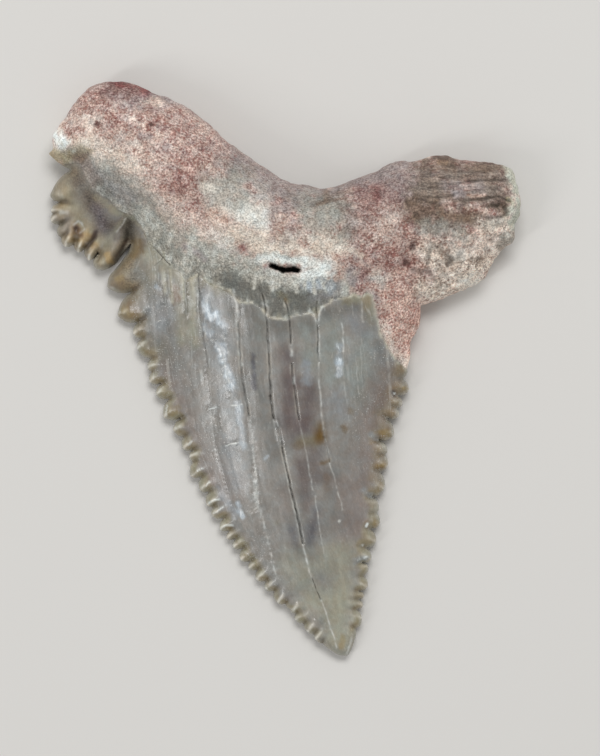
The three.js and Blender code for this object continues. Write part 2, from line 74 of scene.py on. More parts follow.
FILL_ROUNDS = 60  # of averaging, to fill in heights where the CAD tooth can't give them
SMOOTHING_ROUNDS = 26  # of averaging, to take out the facets of the CAD tooth
# The skin is painted darker in the hollows found this way and lighter on the crests: painted shade
# and painted highlight.
HOLLOW_ROUNDS = 8  # of averaging, against which a place counts as a hollow or a crest
ENAMEL_LIP = 0.07  # by which the enamel's edge stands above the bone beside it, each way
ENAMEL_LIP_WIDTH = 0.4
PANEL_CROWN = 0.05  # how much each panel of enamel between two cracks bulges
NOTCH_TURN = -0.5  # radians by which the outline turns inwards at a notch
NOTCH_GROOVE = {"depth": 0.32, "width": 0.13, "length": 1.1}
TIP_RIDGE = {"height": 0.2, "width": 0.10, "length": 1.1}
WORN_RIDGES = 0.45  # what is left of the ridges along the right margin
WORN_FOLDS = 0.65  # what is left of the folds there
LONGEST_SERRATION = 4.5  # along the outline, from notch to notch
RIDGE_SLANT = 0.4  # by which the ridges lean towards the root
SERRATION_BAND = 1.4  # width of the waxy margin of the crown

# ---- Lines on the tooth --------------------------------------------------------------------------

# Upper edge of the enamel, from the cusplet to where the crown's shoulder broke away.
ENAMEL_EDGE = [
    (-16.35, 16.35), (-15.3, 14.35), (-14.1, 13.55), (-13.15, 12.6), (-12.1, 12.25),
    (-11.55, 11.55), (-10.75, 9.95), (-9.95, 9.4), (-9.55, 8.6), (-8.75, 8.1), (-8.2, 7.8),
    (-7.8, 7.05), (-6.9, 7.55), (-6.5, 7.3), (-5.5, 6.65), (-4.3, 6.25), (-3.55, 5.3),
    (-2.5, 5.3), (-1.7, 4.75), (-1.3, 4.1), (0.1, 3.95), (0.7, 4.25), (1.95, 4.5), (2.5, 4.1),
    (2.9, 4.9), (3.95, 5.55), (5.0, 5.7), (5.55, 6.0), (6.1, 5.7), (6.5, 6.1), (7.0, 5.85),
    (7.3, 4.25), (7.7, 2.65), (8.45, 1.3), (9.25, 0.35), (9.9, 0.0),
]
# Corners beyond the outline that close the enamel's edge into the area of the crown.
CROWN_SURROUND = [(30.0, 0.0), (30.0, -40.0), (-40.0, -40.0), (-40.0, 16.35)]

# The cleft between the cusplet and the crown, painted dark: dark grain with painted shade.
CLEFT = [(-12.4, 11.6), (-12.6, 10.4), (-13.2, 9.2), (-13.8, 8.3)]

# Lines along which the enamel is worn rough and grainy.
WORN_ENAMEL = [
    [(-16.7, 15.6), (-16.1, 14.4), (-15.5, 13.4), (-14.9, 12.4), (-14.2, 11.6)],
    [(-12.5, 11.8), (-12.6, 10.8), (-12.8, 9.8), (-12.4, 8.4), (-12.2, 6.8)],
]
WORN_WIDTH = 0.75

# The band between root and enamel: its width, and how much wider it is around one place.
BAND_WIDTH = 1.9
BAND_BULGE = 1.1
BAND_BULGE_X = 0.5
BAND_BULGE_REACH = 3.2
GLASSY_REACH = 4.5  # to either side of the middle, over which the band's gloss fades

FORAMEN = [(-1.05, 8.2), (-0.6, 8.02), (-0.1, 7.87), (0.25, 7.82), (0.65, 7.9), (1.1, 7.78)]
FORAMEN_HALF_HEIGHT = 0.17
FORAMEN_DEPTH = 1.3

# Open cracks: darkness, depth, half width, points.
CRACKS = [
    (0.8, 0.10, 0.05, [(-6.8, 7.5), (-6.8, 6.9), (-6.75, 6.0)]),
    (0.35, 0.06, 0.05, [(-6.75, 6.0), (-6.7, 4.0), (-6.5, 2.8), (-6.0, 0.0)]),
    (0.8, 0.08, 0.045, [(-10.2, 9.55), (-9.85, 9.15), (-9.6, 8.8), (-9.15, 8.35)]),
    (0.7, 0.05, 0.035, [(-10.35, 8.25), (-10.0, 8.5), (-9.65, 8.8)]),
    (0.8, 0.12, 0.055, [(-3.7, 3.6), (-3.6, 2.6), (-3.5, 0.8), (-3.35, -0.5), (-3.2, -1.7),
                        (-3.0, -2.8), (-2.8, -3.7)]),
    (0.9, 0.12, 0.055, [(-1.95, 6.4), (-1.6, 5.5), (-1.4, 3.9), (-1.35, 2.6), (-1.2, 0.6),
                        (-1.15, -1.0), (-1.1, -2.1)]),
    (1.0, 0.16, 0.06, [(-1.1, -2.1), (-1.0, -3.0), (-0.85, -3.9)]),
    (0.7, 0.10, 0.05, [(-0.5, -4.6), (-0.3, -5.4), (-0.15, -6.2)]),
    (1.0, 0.16, 0.055, [(-0.15, -6.2), (0.0, -7.1), (0.4, -9.0), (0.8, -10.7), (1.0, -11.6),
                        (1.2, -12.5), (1.45, -13.9)]),
    (0.7, 0.06, 0.045, [(2.2, -16.7), (2.6, -17.7), (2.9, -18.4)]),
    (0.85, 0.12, 0.055, [(0.1, 5.3), (0.3, 4.7), (0.45, 3.1), (0.5, 2.1)]),
    (0.8, 0.12, 0.055, [(0.6, 0.4), (0.65, -0.6), (0.8, -1.5), (1.0, -2.8), (1.15, -4.0)]),
    (0.75, 0.10, 0.05, [(2.55, 5.3), (2.6, 3.8), (2.7, 3.0), (2.65, 1.5), (2.75, 0.6)]),
    (0.5, 0.05, 0.045, [(3.15, -4.8), (3.25, -5.7), (3.5, -6.9), (3.6, -7.4)]),
]

# Mineral veins and pale crack lips: brightness, half width, points.
VEINS = [
    (0.6, 0.05, [(-6.9, 6.4), (-6.85, 4.5), (-6.6, 3.0)]),
    (0.8, 0.10, [(-4.05, 6.3), (-3.9, 5.6), (-3.75, 4.6), (-3.75, 3.4), (-3.6, 1.5), (-3.4, 0.3)]),
    (0.5, 0.06, [(-2.8, -3.7), (-2.6, -5.0), (-2.5, -5.7), (-2.4, -7.2)]),
    (0.8, 0.07, [(-2.4, -7.2), (-2.3, -8.2), (-2.25, -9.4), (-2.15, -10.2), (-2.1, -11.0)]),
    (0.9, 0.17, [(-2.35, -8.9), (-2.3, -9.8), (-2.25, -10.7)]),
    (0.65, 0.06, [(-2.1, -11.0), (-1.9, -11.4), (-1.6, -12.6), (-1.3, -13.8), (-1.1, -14.6),
                  (-0.95, -15.6), (-0.75, -16.3)]),
    (0.7, 0.08, [(-2.8, -11.5), (-2.5, -11.35), (-2.2, -11.1)]),
    (0.7, 0.09, [(-1.4, 4.3), (-1.3, 4.9), (-1.7, 5.2)]),
    (0.75, 0.07, [(-0.85, -3.9), (-0.75, -4.8), (-0.6, -5.6)]),
    (0.7, 0.06, [(-0.55, -4.2), (-0.4, -4.9), (-0.3, -5.7)]),
    (0.5, 0.05, [(-0.05, -7.0), (0.25, -8.8), (0.65, -10.7), (0.9, -11.8), (1.1, -12.8)]),
    (0.75, 0.07, [(1.45, -13.9), (1.6, -14.6), (1.85, -15.5), (2.0, -16.2), (2.2, -16.7)]),
    (0.75, 0.06, [(2.9, -18.4), (3.35, -19.6), (3.6, -20.5), (3.9, -21.3), (4.2, -22.3)]),
    (0.9, 0.13, [(0.5, 1.9), (0.6, 1.5), (0.6, 1.1)]),
    (0.85, 0.10, [(0.7, -0.6), (0.75, -1.1)]),
    (0.25, 0.05, [(1.2, -4.1), (1.35, -5.0), (1.65, -6.3)]),
    (0.45, 0.06, [(1.75, -6.5), (1.85, -7.3), (2.1, -8.8), (2.25, -9.6)]),
    (0.6, 0.05, [(2.45, -10.2), (2.6, -11.2), (2.75, -12.4), (2.9, -13.3)]),
    (0.35, 0.05, [(2.9, -13.3), (3.05, -14.1), (3.3, -15.3)]),
    (0.8, 0.09, [(2.0, 4.6), (2.35, 4.3), (2.6, 3.6), (2.75, 4.3), (2.95, 4.9)]),
    (0.7, 0.07, [(2.75, 3.0), (2.75, 1.5), (2.7, -0.2), (2.8, -1.5)]),
    (0.55, 0.08, [(2.8, -1.5), (2.9, -2.6), (2.95, -3.6), (3.1, -4.6), (3.3, -5.9), (3.5, -6.8)]),
    (0.6, 0.055, [(3.6, -7.5), (3.9, -8.4), (4.15, -9.4), (4.45, -10.4), (4.65, -11.2)]),
    (0.75, 0.06, [(4.55, 3.6), (4.65, 2.9), (4.65, 1.4)]),
    (0.3, 0.05, [(4.65, 1.4), (4.65, 0.2), (4.8, -1.5), (5.05, -3.4), (5.1, -4.2)]),
    (0.45, 0.08, [(6.1, 5.7), (6.15, 4.8), (6.2, 3.8)]),
    (0.3, 0.04, [(6.15, 2.6), (6.15, 0.4), (6.2, -1.6)]),
    (0.5, 0.045, [(5.6, 1.3), (5.75, 0.2), (5.8, -0.9), (5.95, -2.1)]),
    (0.55, 0.07, [(-9.3, 7.8), (-9.2, 7.0), (-9.1, 6.1)]),
    (0.6, 0.05, [(-10.75, 9.6), (-10.6, 8.8), (-10.5, 8.0)]),
    (0.5, 0.05, [(-10.2, 9.2), (-10.1, 8.4), (-10.05, 7.0)]),
    (0.5, 0.05, [(-7.9, 7.0), (-7.85, 5.8), (-7.8, 4.4)]),
    (0.7, 0.07, [(-8.6, 8.0), (-8.2, 7.7), (-7.95, 7.2)]),
    (0.35, 0.05, [(-9.6, 6.6), (-9.5, 5.3)]),
    (0.7, 0.06, [(-5.7, 2.3), (-5.3, 2.0), (-5.05, 1.7), (-4.9, 1.0), (-4.6, 0.0), (-4.4, -1.0),
                 (-4.2, -2.2)]),
    (0.5, 0.05, [(-4.8, 2.6), (-4.6, 1.8), (-4.4, 1.2)]),
    (0.35, 0.05, [(-7.4, 2.7), (-7.35, 1.2), (-7.35, 0.0)]),
    (0.45, 0.05, [(-5.95, 0.8), (-5.95, 0.1)]),
    (0.7, 0.05, [(-5.9, -3.15), (-5.5, -3.05)]),
    (0.9, 0.05, [(-4.6, -6.1), (-4.3, -5.95), (-3.9, -5.9)]),
    (0.4, 0.05, [(-5.4, -3.6), (-5.2, -4.5)]),
    (0.45, 0.05, [(-2.65, -5.4), (-2.55, -6.2)]),
    (0.6, 0.07, [(-13.4, 11.0), (-13.0, 11.5), (-12.75, 12.0)]),
    (0.7, 0.09, [(-16.8, 11.6), (-16.5, 11.85), (-16.2, 11.7), (-16.05, 11.2), (-16.3, 10.9)]),
    (0.5, 0.10, [(-14.15, 6.65), (-13.7, 6.5)]),
]

# Folds between the lobes of the cusplet and behind the largest serrations, then the grooves of the
# eroded root lobe: depth, width, points. Each grows shallow towards its last point, and one with
# a negative depth stands up as a knuckle.
FOLDS = [
    (0.35, 0.14, [(-16.8, 9.6), (-16.7, 10.1), (-16.5, 10.7)]),
    (0.40, 0.15, [(-16.1, 9.4), (-15.6, 10.1), (-15.2, 10.5), (-15.0, 11.0)]),
    (0.30, 0.14, [(-15.0, 8.7), (-14.8, 9.1), (-14.5, 9.4)]),
    (0.30, 0.15, [(-17.7, 10.4), (-17.4, 10.9), (-17.3, 11.5)]),
    (0.30, 0.16, [(-18.05, 11.6), (-17.6, 11.85), (-17.2, 12.0)]),
    (0.28, 0.20, [(-18.2, 13.4), (-17.6, 13.4), (-17.0, 13.2)]),
    (0.60, 0.35, [(-12.6, 9.7), (-12.45, 10.6), (-12.4, 11.6)]),
    (0.16, 0.2, [(-12.3, 6.2), (-11.7, 6.6), (-11.2, 7.2)]),
    (0.25, 0.20, [(-11.85, 3.75), (-11.2, 4.1), (-10.9, 4.6)]),
    (-0.35, 0.5, [(-18.0, 13.9), (-17.3, 14.3), (-16.6, 14.3)]),
    (-0.25, 0.4, [(-18.1, 12.6), (-17.5, 12.7), (-16.7, 12.6)]),
    (-0.28, 0.38, [(-17.3, 10.2), (-17.2, 10.9), (-17.0, 11.7)]),
    (-0.34, 0.4, [(-16.4, 9.6), (-15.9, 10.6), (-15.6, 11.6)]),
    (-0.25, 0.3, [(-15.4, 9.2), (-15.1, 9.9)]),
    (-0.38, 0.6, [(-14.5, 8.4), (-13.9, 9.6), (-13.6, 10.6)]),
    (-0.30, 0.5, [(-13.4, 7.1), (-12.7, 7.5), (-12.0, 8.1)]),
    (0.16, 0.09, [(17.4, 15.0), (15.0, 14.95), (13.5, 14.65), (10.0, 14.75)]),
    (0.26, 0.11, [(17.9, 13.35), (17.0, 13.7), (15.6, 13.5), (14.2, 13.3)]),
    (0.18, 0.11, [(13.4, 13.75), (12.2, 13.55), (11.0, 13.6), (10.3, 13.6)]),
    (0.10, 0.12, [(15.8, 15.7), (13.6, 15.6), (11.4, 15.9)]),
    (0.24, 0.15, [(16.9, 12.95), (16.4, 13.0), (16.1, 12.8)]),
    (0.26, 0.22, [(17.5, 12.85), (17.65, 12.4), (17.3, 12.2)]),
    (0.16, 0.16, [(17.2, 12.1), (16.0, 12.0), (15.0, 12.3)]),
    (0.16, 0.25, [(11.4, 9.0), (11.7, 9.7), (12.4, 9.6)]),
    (0.18, 0.25, [(13.0, 8.2), (13.2, 8.7), (13.7, 8.8)]),
    (0.14, 0.30, [(10.2, 7.9), (11.4, 7.7), (12.0, 7.2)]),
]

# ---- Paint ---------------------------------------------------------------------------------------

# Each finish: ground colour, colour of its flecks, and how thickly they lie. Gleam is a painted
# highlight; frost, and the white of the chips, are also laid as painted sheen and glints on the
# crown;
# dark pit is painted shade where it lies in folds and the cleft.
FINISHES = {
    "sandy pink": ((214, 193, 183), (148, 103, 94), 0.50),
    "cream": ((234, 219, 207), (172, 134, 120), 0.38),
    "pale cream": ((236, 226, 211), (192, 162, 144), 0.30),
    "iron red": ((208, 181, 171), (140, 90, 82), 0.56),
    "spur red": ((240, 214, 200), (170, 118, 106), 0.52),
    "crimson": ((160, 92, 90), (112, 40, 42), 0.6),
    "dusky red": ((170, 144, 138), (108, 72, 68), 0.55),
    "deep red": ((156, 108, 102), (100, 50, 48), 0.60),
    "rose gray": ((158, 147, 144), (118, 102, 102), 0.45),
    "lilac bone": ((172, 162, 162), (126, 112, 116), 0.42),
    "chalk": ((228, 229, 222), (172, 168, 160), 0.25),
    "white chip and glint": ((244, 249, 245), (222, 226, 220), 0.12),
    "ivory": ((198, 193, 184), (154, 143, 134), 0.34),
    "peach": ((214, 190, 175), (164, 116, 98), 0.42),
    "green bone": ((156, 156, 148), (118, 115, 105), 0.38),
    "rim green": ((186, 187, 174), (152, 151, 139), 0.16),
    "bark": ((138, 125, 114), (92, 79, 70), 0.5),
    "umber": ((128, 108, 90), (78, 60, 48), 0.52),
    "dark pit": ((80, 62, 54), (54, 38, 34), 0.5),
    "crumbled": ((238, 226, 212), (140, 112, 94), 0.42),
    "band gray": ((149, 147, 138), (218, 216, 205), 0.42),
    "band lilac": ((140, 138, 138), (186, 183, 182), 0.40),
    "band dark": ((107, 107, 101), (162, 163, 155), 0.30),
    "band frost": ((172, 172, 163), (224, 225, 216), 0.50),
    "flake": ((180, 176, 158), (212, 208, 192), 0.3),
    "lemon shell": ((160, 158, 140), (194, 190, 172), 0.12),
    "finger wax": ((164, 141, 100), (192, 170, 132), 0.2),
    "band moss": ((146, 140, 112), (184, 178, 152), 0.4),
    "band chalk": ((206, 206, 196), (228, 229, 222), 0.5),
    "shell": ((144, 141, 136), (188, 188, 184), 0.08),
    "olive mist": ((132, 127, 114), (172, 166, 150), 0.18),
    "gleam": ((184, 195, 204), (240, 246, 250), 0.55),
    "frost": ((152, 159, 163), (214, 222, 224), 0.46),
    "smoke": ((122, 121, 117), (160, 158, 152), 0.12),
    "mauve": ((102, 90, 88), (136, 122, 116), 0.1),
    "green gray": ((143, 147, 141), (176, 176, 168), 0.12),
    "blue gray": ((143, 147, 151), (182, 186, 192), 0.15),
    "rosy shell": ((142, 131, 125), (184, 174, 168), 0.10),
    "lilac shell": ((88, 87, 93), (136, 132, 140), 0.08),
    "tan": ((154, 151, 133), (186, 179, 158), 0.12),
    "amber": ((146, 129, 100), (184, 168, 136), 0.22),
    "khaki": ((154, 148, 122), (194, 187, 162), 0.2),
    "honey": ((146, 124, 78), (182, 162, 116), 0.2),
    "cusp wax": ((164, 152, 124), (194, 182, 154), 0.18),
    "cusp lilac": ((104, 94, 84), (56, 48, 43), 0.45),
    "ochre": ((102, 76, 26), (88, 62, 20), 0.1),
    "olive": ((132, 126, 104), (112, 104, 80), 0.1),
    "rust": ((122, 98, 76), (100, 70, 50), 0.15),
    "soot": ((124, 118, 104), (30, 27, 24), 0.56),
    "cusp violet": ((126, 119, 122), (78, 71, 76), 0.45),
    "tip": ((172, 168, 154), (204, 200, 184), 0.12),
}

# Colours of single marks, laid on without flecks. Under enamel edge, fold and foramen are painted
# shade;
# serration hollow and notch are amber brown darkened with painted shade, and cleft is dark grain with
# painted shade; the two glints are painted highlights.
TONES = {
    "under enamel edge": (106, 103, 95),
    "enamel edge": (196, 192, 175),
    "serration hollow": (112, 90, 56),
    "notch": (84, 68, 42),
    "notch glint": (196, 190, 184),
    "ridge glint": (240, 236, 224),
    "cleft": (30, 26, 20),
    "vein": (224, 225, 220),
    "crack": (34, 27, 20),
    "crack lip": (206, 202, 190),
    "fold": (70, 55, 42),
    "foramen": (10, 9, 8),
}

# Colours that the materials add by themselves.
DULL_FLECK = (128, 116, 106)
DUST = (214, 214, 210)
HAIRLINE = (214, 214, 208)
STUDIO_FLOOR = (226, 224, 220)

# The folds are painted in shade, darker the deeper they are.
FOLD_SHADE = 2.2  # by which a fold's depth is multiplied
SOFT_RADIUS = 0.4  # of the strokes on the enamel above which their edges are soft

# Strokes of paint on the root: finish, radius, strength, points.
ROOT_STROKES = [
    ("cream", 1.6, 0.5, [(-16.5, 19.5), (-14.0, 18.0), (-11.5, 16.6)]),
    ("rose gray", 0.4, 0.6, [(-17.6, 20.2), (-16.4, 22.0), (-14.2, 23.0), (-11.8, 22.9)]),
    ("rose gray", 0.7, 0.7, [(-11.2, 22.5), (-8.4, 21.4), (-5.4, 19.2), (-2.6, 17.0)]),
    ("cream", 0.7, 0.8, [(-15.9, 20.0), (-15.4, 19.1)]),
    ("pale cream", 0.8, 0.8, [(-16.2, 18.0), (-14.6, 17.2), (-12.8, 16.4), (-11.2, 15.2)]),
    ("pale cream", 0.5, 0.6, [(-10.6, 13.9), (-9.4, 12.6), (-8.2, 11.6)]),
    ("iron red", 0.7, 0.6, [(-15.9, 21.6), (-14.6, 22.2), (-13.0, 22.5)]),
    ("iron red", 0.6, 0.6, [(-17.0, 21.0), (-16.2, 20.7), (-14.8, 20.9), (-14.0, 21.4)]),
    ("deep red", 0.6, 1.0, [(-13.4, 22.6), (-12.2, 22.4), (-11.0, 22.1)]),
    ("crimson", 0.4, 0.8, [(-13.2, 22.6), (-12.2, 22.4), (-11.2, 22.1)]),
    ("lilac bone", 0.7, 0.55, [(-13.6, 21.7), (-12.6, 21.3), (-11.6, 21.6)]),
    ("dusky red", 0.6, 1.0, [(-14.3, 21.9), (-13.2, 22.1), (-12.0, 22.1)]),
    ("lilac bone", 0.5, 0.5, [(-9.0, 21.3), (-8.0, 20.9)]),
    ("deep red", 0.26, 0.8, [(-14.85, 19.4)]),
    ("deep red", 0.24, 0.7, [(-10.5, 19.35), (-10.1, 19.6)]),
    ("iron red", 1.0, 0.5, [(-10.2, 20.0), (-8.6, 19.5)]),
    ("iron red", 0.8, 0.45, [(-14.0, 20.3), (-13.2, 19.6), (-14.2, 19.0)]),
    ("sandy pink", 1.2, 0.6, [(-8.5, 20.4), (-6.5, 18.9), (-4.5, 17.4)]),
    ("rose gray", 1.3, 0.85, [(-3.6, 16.4), (-1.8, 15.4), (0.4, 14.5), (2.8, 14.2)]),
    ("iron red", 1.5, 0.45, [(-9.0, 16.0), (-7.2, 16.2)]),
    ("iron red", 1.5, 0.75, [(-9.6, 14.6), (-7.6, 14.2), (-7.4, 12.6)]),
    ("iron red", 0.6, 0.7, [(-11.2, 15.2), (-10.0, 14.0), (-9.4, 13.0)]),
    ("deep red", 0.5, 0.35, [(-8.6, 15.4), (-8.3, 14.0)]),
    ("green bone", 1.6, 0.85, [(-5.2, 14.2), (-3.4, 14.6)]),
    ("lilac bone", 0.9, 0.6, [(-2.6, 14.2), (-1.6, 13.6)]),
    ("ivory", 1.5, 0.65, [(-5.0, 13.0), (-2.6, 13.2)]),
    ("chalk", 1.2, 0.9, [(-3.2, 12.2), (-2.0, 11.6)]),
    ("green bone", 1.2, 0.7, [(1.4, 13.2), (4.0, 13.0)]),
    ("iron red", 0.35, 0.6, [(-2.8, 14.4), (-2.5, 14.0)]),
    ("rose gray", 1.0, 0.7, [(0.2, 13.0), (-0.4, 11.8), (0.2, 10.6), (0.0, 9.4)]),
    ("peach", 0.6, 0.6, [(-0.2, 11.6), (-0.4, 10.8)]),
    ("peach", 0.8, 0.8, [(-5.8, 11.8), (-4.6, 11.4), (-3.6, 10.8), (-2.4, 10.2)]),
    ("iron red", 0.5, 0.75, [(-6.6, 11.8), (-6.4, 10.9)]),
    ("crimson", 0.3, 0.9, [(-3.7, 9.8), (-3.1, 9.6)]),
    ("crimson", 0.2, 0.7, [(-4.6, 9.1), (-4.2, 9.0)]),
    ("pale cream", 1.0, 0.8, [(-2.2, 10.2), (-1.2, 9.4), (1.8, 9.7), (4.2, 9.9)]),
    ("pale cream", 0.9, 0.7, [(-6.2, 10.6), (-4.8, 10.4), (-3.2, 10.6)]),
    ("iron red", 0.4, 0.5, [(1.3, 10.2), (1.6, 9.9)]),
    ("green bone", 1.1, 0.8, [(2.0, 11.6), (3.2, 11.8), (4.4, 12.2)]),
    ("ivory", 0.5, 0.4, [(2.0, 11.2), (2.6, 11.0)]),
    ("green bone", 0.9, 0.85, [(5.0, 12.8), (5.2, 11.4), (4.9, 10.8)]),
    ("chalk", 0.35, 0.8, [(5.6, 11.5), (5.9, 11.5)]),
    ("cream", 0.5, 0.75, [(6.4, 12.6), (6.5, 11.2)]),
    ("umber", 0.4, 0.6, [(3.3, 14.0), (3.5, 13.7)]),
    ("umber", 0.16, 0.7, [(2.6, 13.0), (3.4, 13.3), (4.9, 13.5)]),
    ("dusky red", 1.8, 0.9, [(6.2, 14.2), (8.4, 14.0), (8.6, 12.6)]),
    ("dusky red", 1.3, 0.6, [(5.8, 11.6), (7.4, 11.2)]),
    ("deep red", 0.5, 0.5, [(7.4, 13.6), (7.3, 14.2)]),
    ("rose gray", 0.8, 0.85, [(4.4, 14.6), (5.8, 15.1), (7.6, 15.8), (9.4, 16.4)]),
    ("cream", 1.2, 0.7, [(8.6, 11.8), (8.0, 11.0)]),
    ("iron red", 1.2, 0.5, [(6.6, 9.6), (8.4, 9.6), (9.6, 10.6)]),
    ("iron red", 1.1, 0.7, [(8.4, 8.3), (10.8, 8.0), (11.2, 7.2)]),
    ("deep red", 0.6, 0.5, [(10.2, 7.9), (11.4, 7.8)]),
    ("deep red", 0.26, 0.9, [(9.5, 8.5), (9.9, 8.35)]),
    ("deep red", 0.26, 0.8, [(10.1, 9.7)]),
    ("deep red", 0.3, 0.6, [(6.1, 7.2), (6.4, 7.6)]),
    ("lilac bone", 0.5, 0.7, [(5.2, 7.8), (5.4, 7.0)]),
    ("peach", 0.5, 0.6, [(4.0, 8.4), (4.3, 7.4), (3.5, 7.1)]),
    ("chalk", 0.6, 0.6, [(7.4, 7.2), (7.8, 6.9)]),
    ("spur red", 1.2, 0.9, [(8.8, 6.4), (9.6, 5.2), (10.4, 4.2)]),
    ("spur red", 1.2, 0.9, [(8.6, 4.6), (9.2, 3.0), (9.6, 1.6)]),
    ("cream", 0.6, 0.9, [(7.7, 3.4), (8.1, 2.2), (8.9, 1.1), (9.6, 0.5)]),
    ("crumbled", 2.0, 0.9, [(12.2, 8.8), (14.6, 8.4), (16.2, 9.6)]),
    ("crumbled", 1.0, 0.9, [(11.4, 6.2), (13.4, 6.6), (15.4, 7.4)]),
    ("cream", 1.0, 0.8, [(13.6, 10.0), (15.6, 10.3), (17.4, 10.4)]),
    ("bark", 0.4, 0.6, [(12.2, 9.4), (12.9, 9.2)]),
    ("umber", 0.3, 0.6, [(13.0, 8.5), (13.6, 8.5), (15.6, 8.8)]),
    ("rose gray", 1.6, 0.7, [(9.2, 15.0), (10.6, 14.0)]),
    ("bark", 0.9, 0.8, [(10.9, 15.9), (11.6, 14.6), (11.2, 14.0)]),
    ("bark", 1.5, 0.9, [(12.4, 15.4), (14.0, 15.4), (16.0, 15.2), (17.6, 15.2)]),
    ("umber", 0.6, 0.6, [(11.4, 16.2), (12.4, 16.4), (13.4, 16.5)]),
    ("rust", 0.3, 0.6, [(12.2, 16.6), (12.8, 16.5)]),
    ("umber", 0.4, 0.6, [(14.6, 16.0), (17.2, 16.2)]),
    ("bark", 0.9, 0.85, [(10.6, 13.9), (13.6, 13.7), (17.4, 13.6)]),
    ("peach", 0.22, 0.7, [(14.6, 13.7), (15.7, 13.75)]),
    ("honey", 0.2, 0.8, [(17.8, 13.5), (18.1, 13.3)]),
    ("rose gray", 0.5, 0.7, [(12.8, 14.6), (15.4, 14.3)]),
    ("lilac bone", 0.45, 0.8, [(13.6, 13.9), (14.1, 13.95)]),
    ("umber", 1.0, 0.85, [(10.2, 12.6), (12.6, 12.3), (15.2, 12.0)]),
    ("umber", 0.3, 0.8, [(10.3, 12.1), (10.6, 11.8)]),
    ("rust", 0.4, 0.5, [(12.6, 12.0), (15.0, 11.7)]),
    ("green bone", 0.8, 0.7, [(11.4, 11.2), (13.8, 10.9)]),
    ("crumbled", 0.8, 0.8, [(15.8, 11.6), (17.6, 11.4)]),
    ("umber", 0.3, 0.7, [(16.9, 12.9), (16.3, 12.95)]),
    ("umber", 0.35, 0.7, [(17.5, 12.9), (17.6, 12.4)]),
    ("iron red", 0.3, 0.6, [(15.8, 12.0), (16.3, 12.0)]),
    ("rim green", 0.6, 1.0, [(18.1, 15.8), (18.5, 14.2), (18.6, 12.8), (18.3, 11.8)]),
    ("green bone", 0.5, 0.7, [(17.4, 10.6), (18.3, 10.5), (17.2, 10.0)]),
    ("rust", 0.2, 0.5, [(17.1, 9.6), (17.3, 9.7)]),
    ("green bone", 0.5, 0.5, [(-3.7, 12.9), (-2.9, 13.6)]),
    ("dark pit", 0.3, 0.6, [(11.9, 16.9), (12.8, 16.8)]),
    ("green bone", 0.5, 0.6, [(16.2, 11.8), (16.9, 11.7)]),
    ("chalk", 0.6, 0.5, [(14.4, 6.9), (15.2, 6.9)]),
    ("iron red", 0.5, 0.6, [(-17.2, 18.7), (-16.1, 18.8)]),
    ("bark", 0.35, 0.6, [(4.4, 13.9), (5.2, 14.0)]),
    ("iron red", 0.5, 0.55, [(-6.3, 11.3), (-5.7, 11.0)]),
    ("pale cream", 0.5, 0.6, [(-6.2, 14.2), (-5.7, 14.2)]),
    ("rose gray", 0.5, 0.6, [(-10.4, 21.8), (-9.6, 21.5)]),
    ("cream", 0.5, 0.5, [(7.4, 10.2), (7.9, 10.0)]),
    ("rose gray", 0.4, 0.5, [(0.0, 9.9)]),
    ("chalk", 0.5, 0.4, [(13.7, 9.1), (14.3, 8.9)]),
    ("pale cream", 0.5, 0.5, [(5.3, 9.3), (5.8, 9.1)]),
    ("iron red", 0.5, 0.6, [(10.5, 5.0), (10.7, 4.4)]),
    ("cream", 0.6, 0.5, [(-9.8, 16.2), (-9.2, 16.4)]),
    ("sandy pink", 0.5, 0.5, [(-9.4, 15.0), (-8.9, 15.1)]),
    ("white chip and glint", 0.6, 1.0, [(-18.3, 18.7), (-18.1, 18.2), (-17.7, 17.9)]),
    ("band chalk", 0.5, 0.85, [(-2.8, 8.4), (-1.4, 8.8), (0.2, 8.7), (1.2, 8.6)]),
    ("band frost", 0.6, 0.7, [(-4.4, 8.9), (-3.0, 8.5)]),
    ("band chalk", 0.6, 0.8, [(-3.0, 7.6), (-1.6, 7.3), (-0.2, 7.1), (1.4, 7.0), (3.0, 6.9)]),
    ("white chip and glint", 0.65, 1.0, [(1.6, 7.4), (2.4, 7.8), (3.4, 8.0)]),
    ("white chip and glint", 0.4, 0.9, [(1.5, 8.3), (2.4, 8.4)]),
    ("white chip and glint", 0.4, 0.7, [(-1.9, 8.6), (-0.6, 8.75), (0.6, 8.65), (1.3, 8.5)]),
    ("band chalk", 0.4, 0.4, [(-4.4, 8.8), (-3.0, 8.6)]),
    ("chalk", 0.6, 0.6, [(-6.0, 9.7), (-4.6, 9.9), (-5.6, 10.4)]),
]

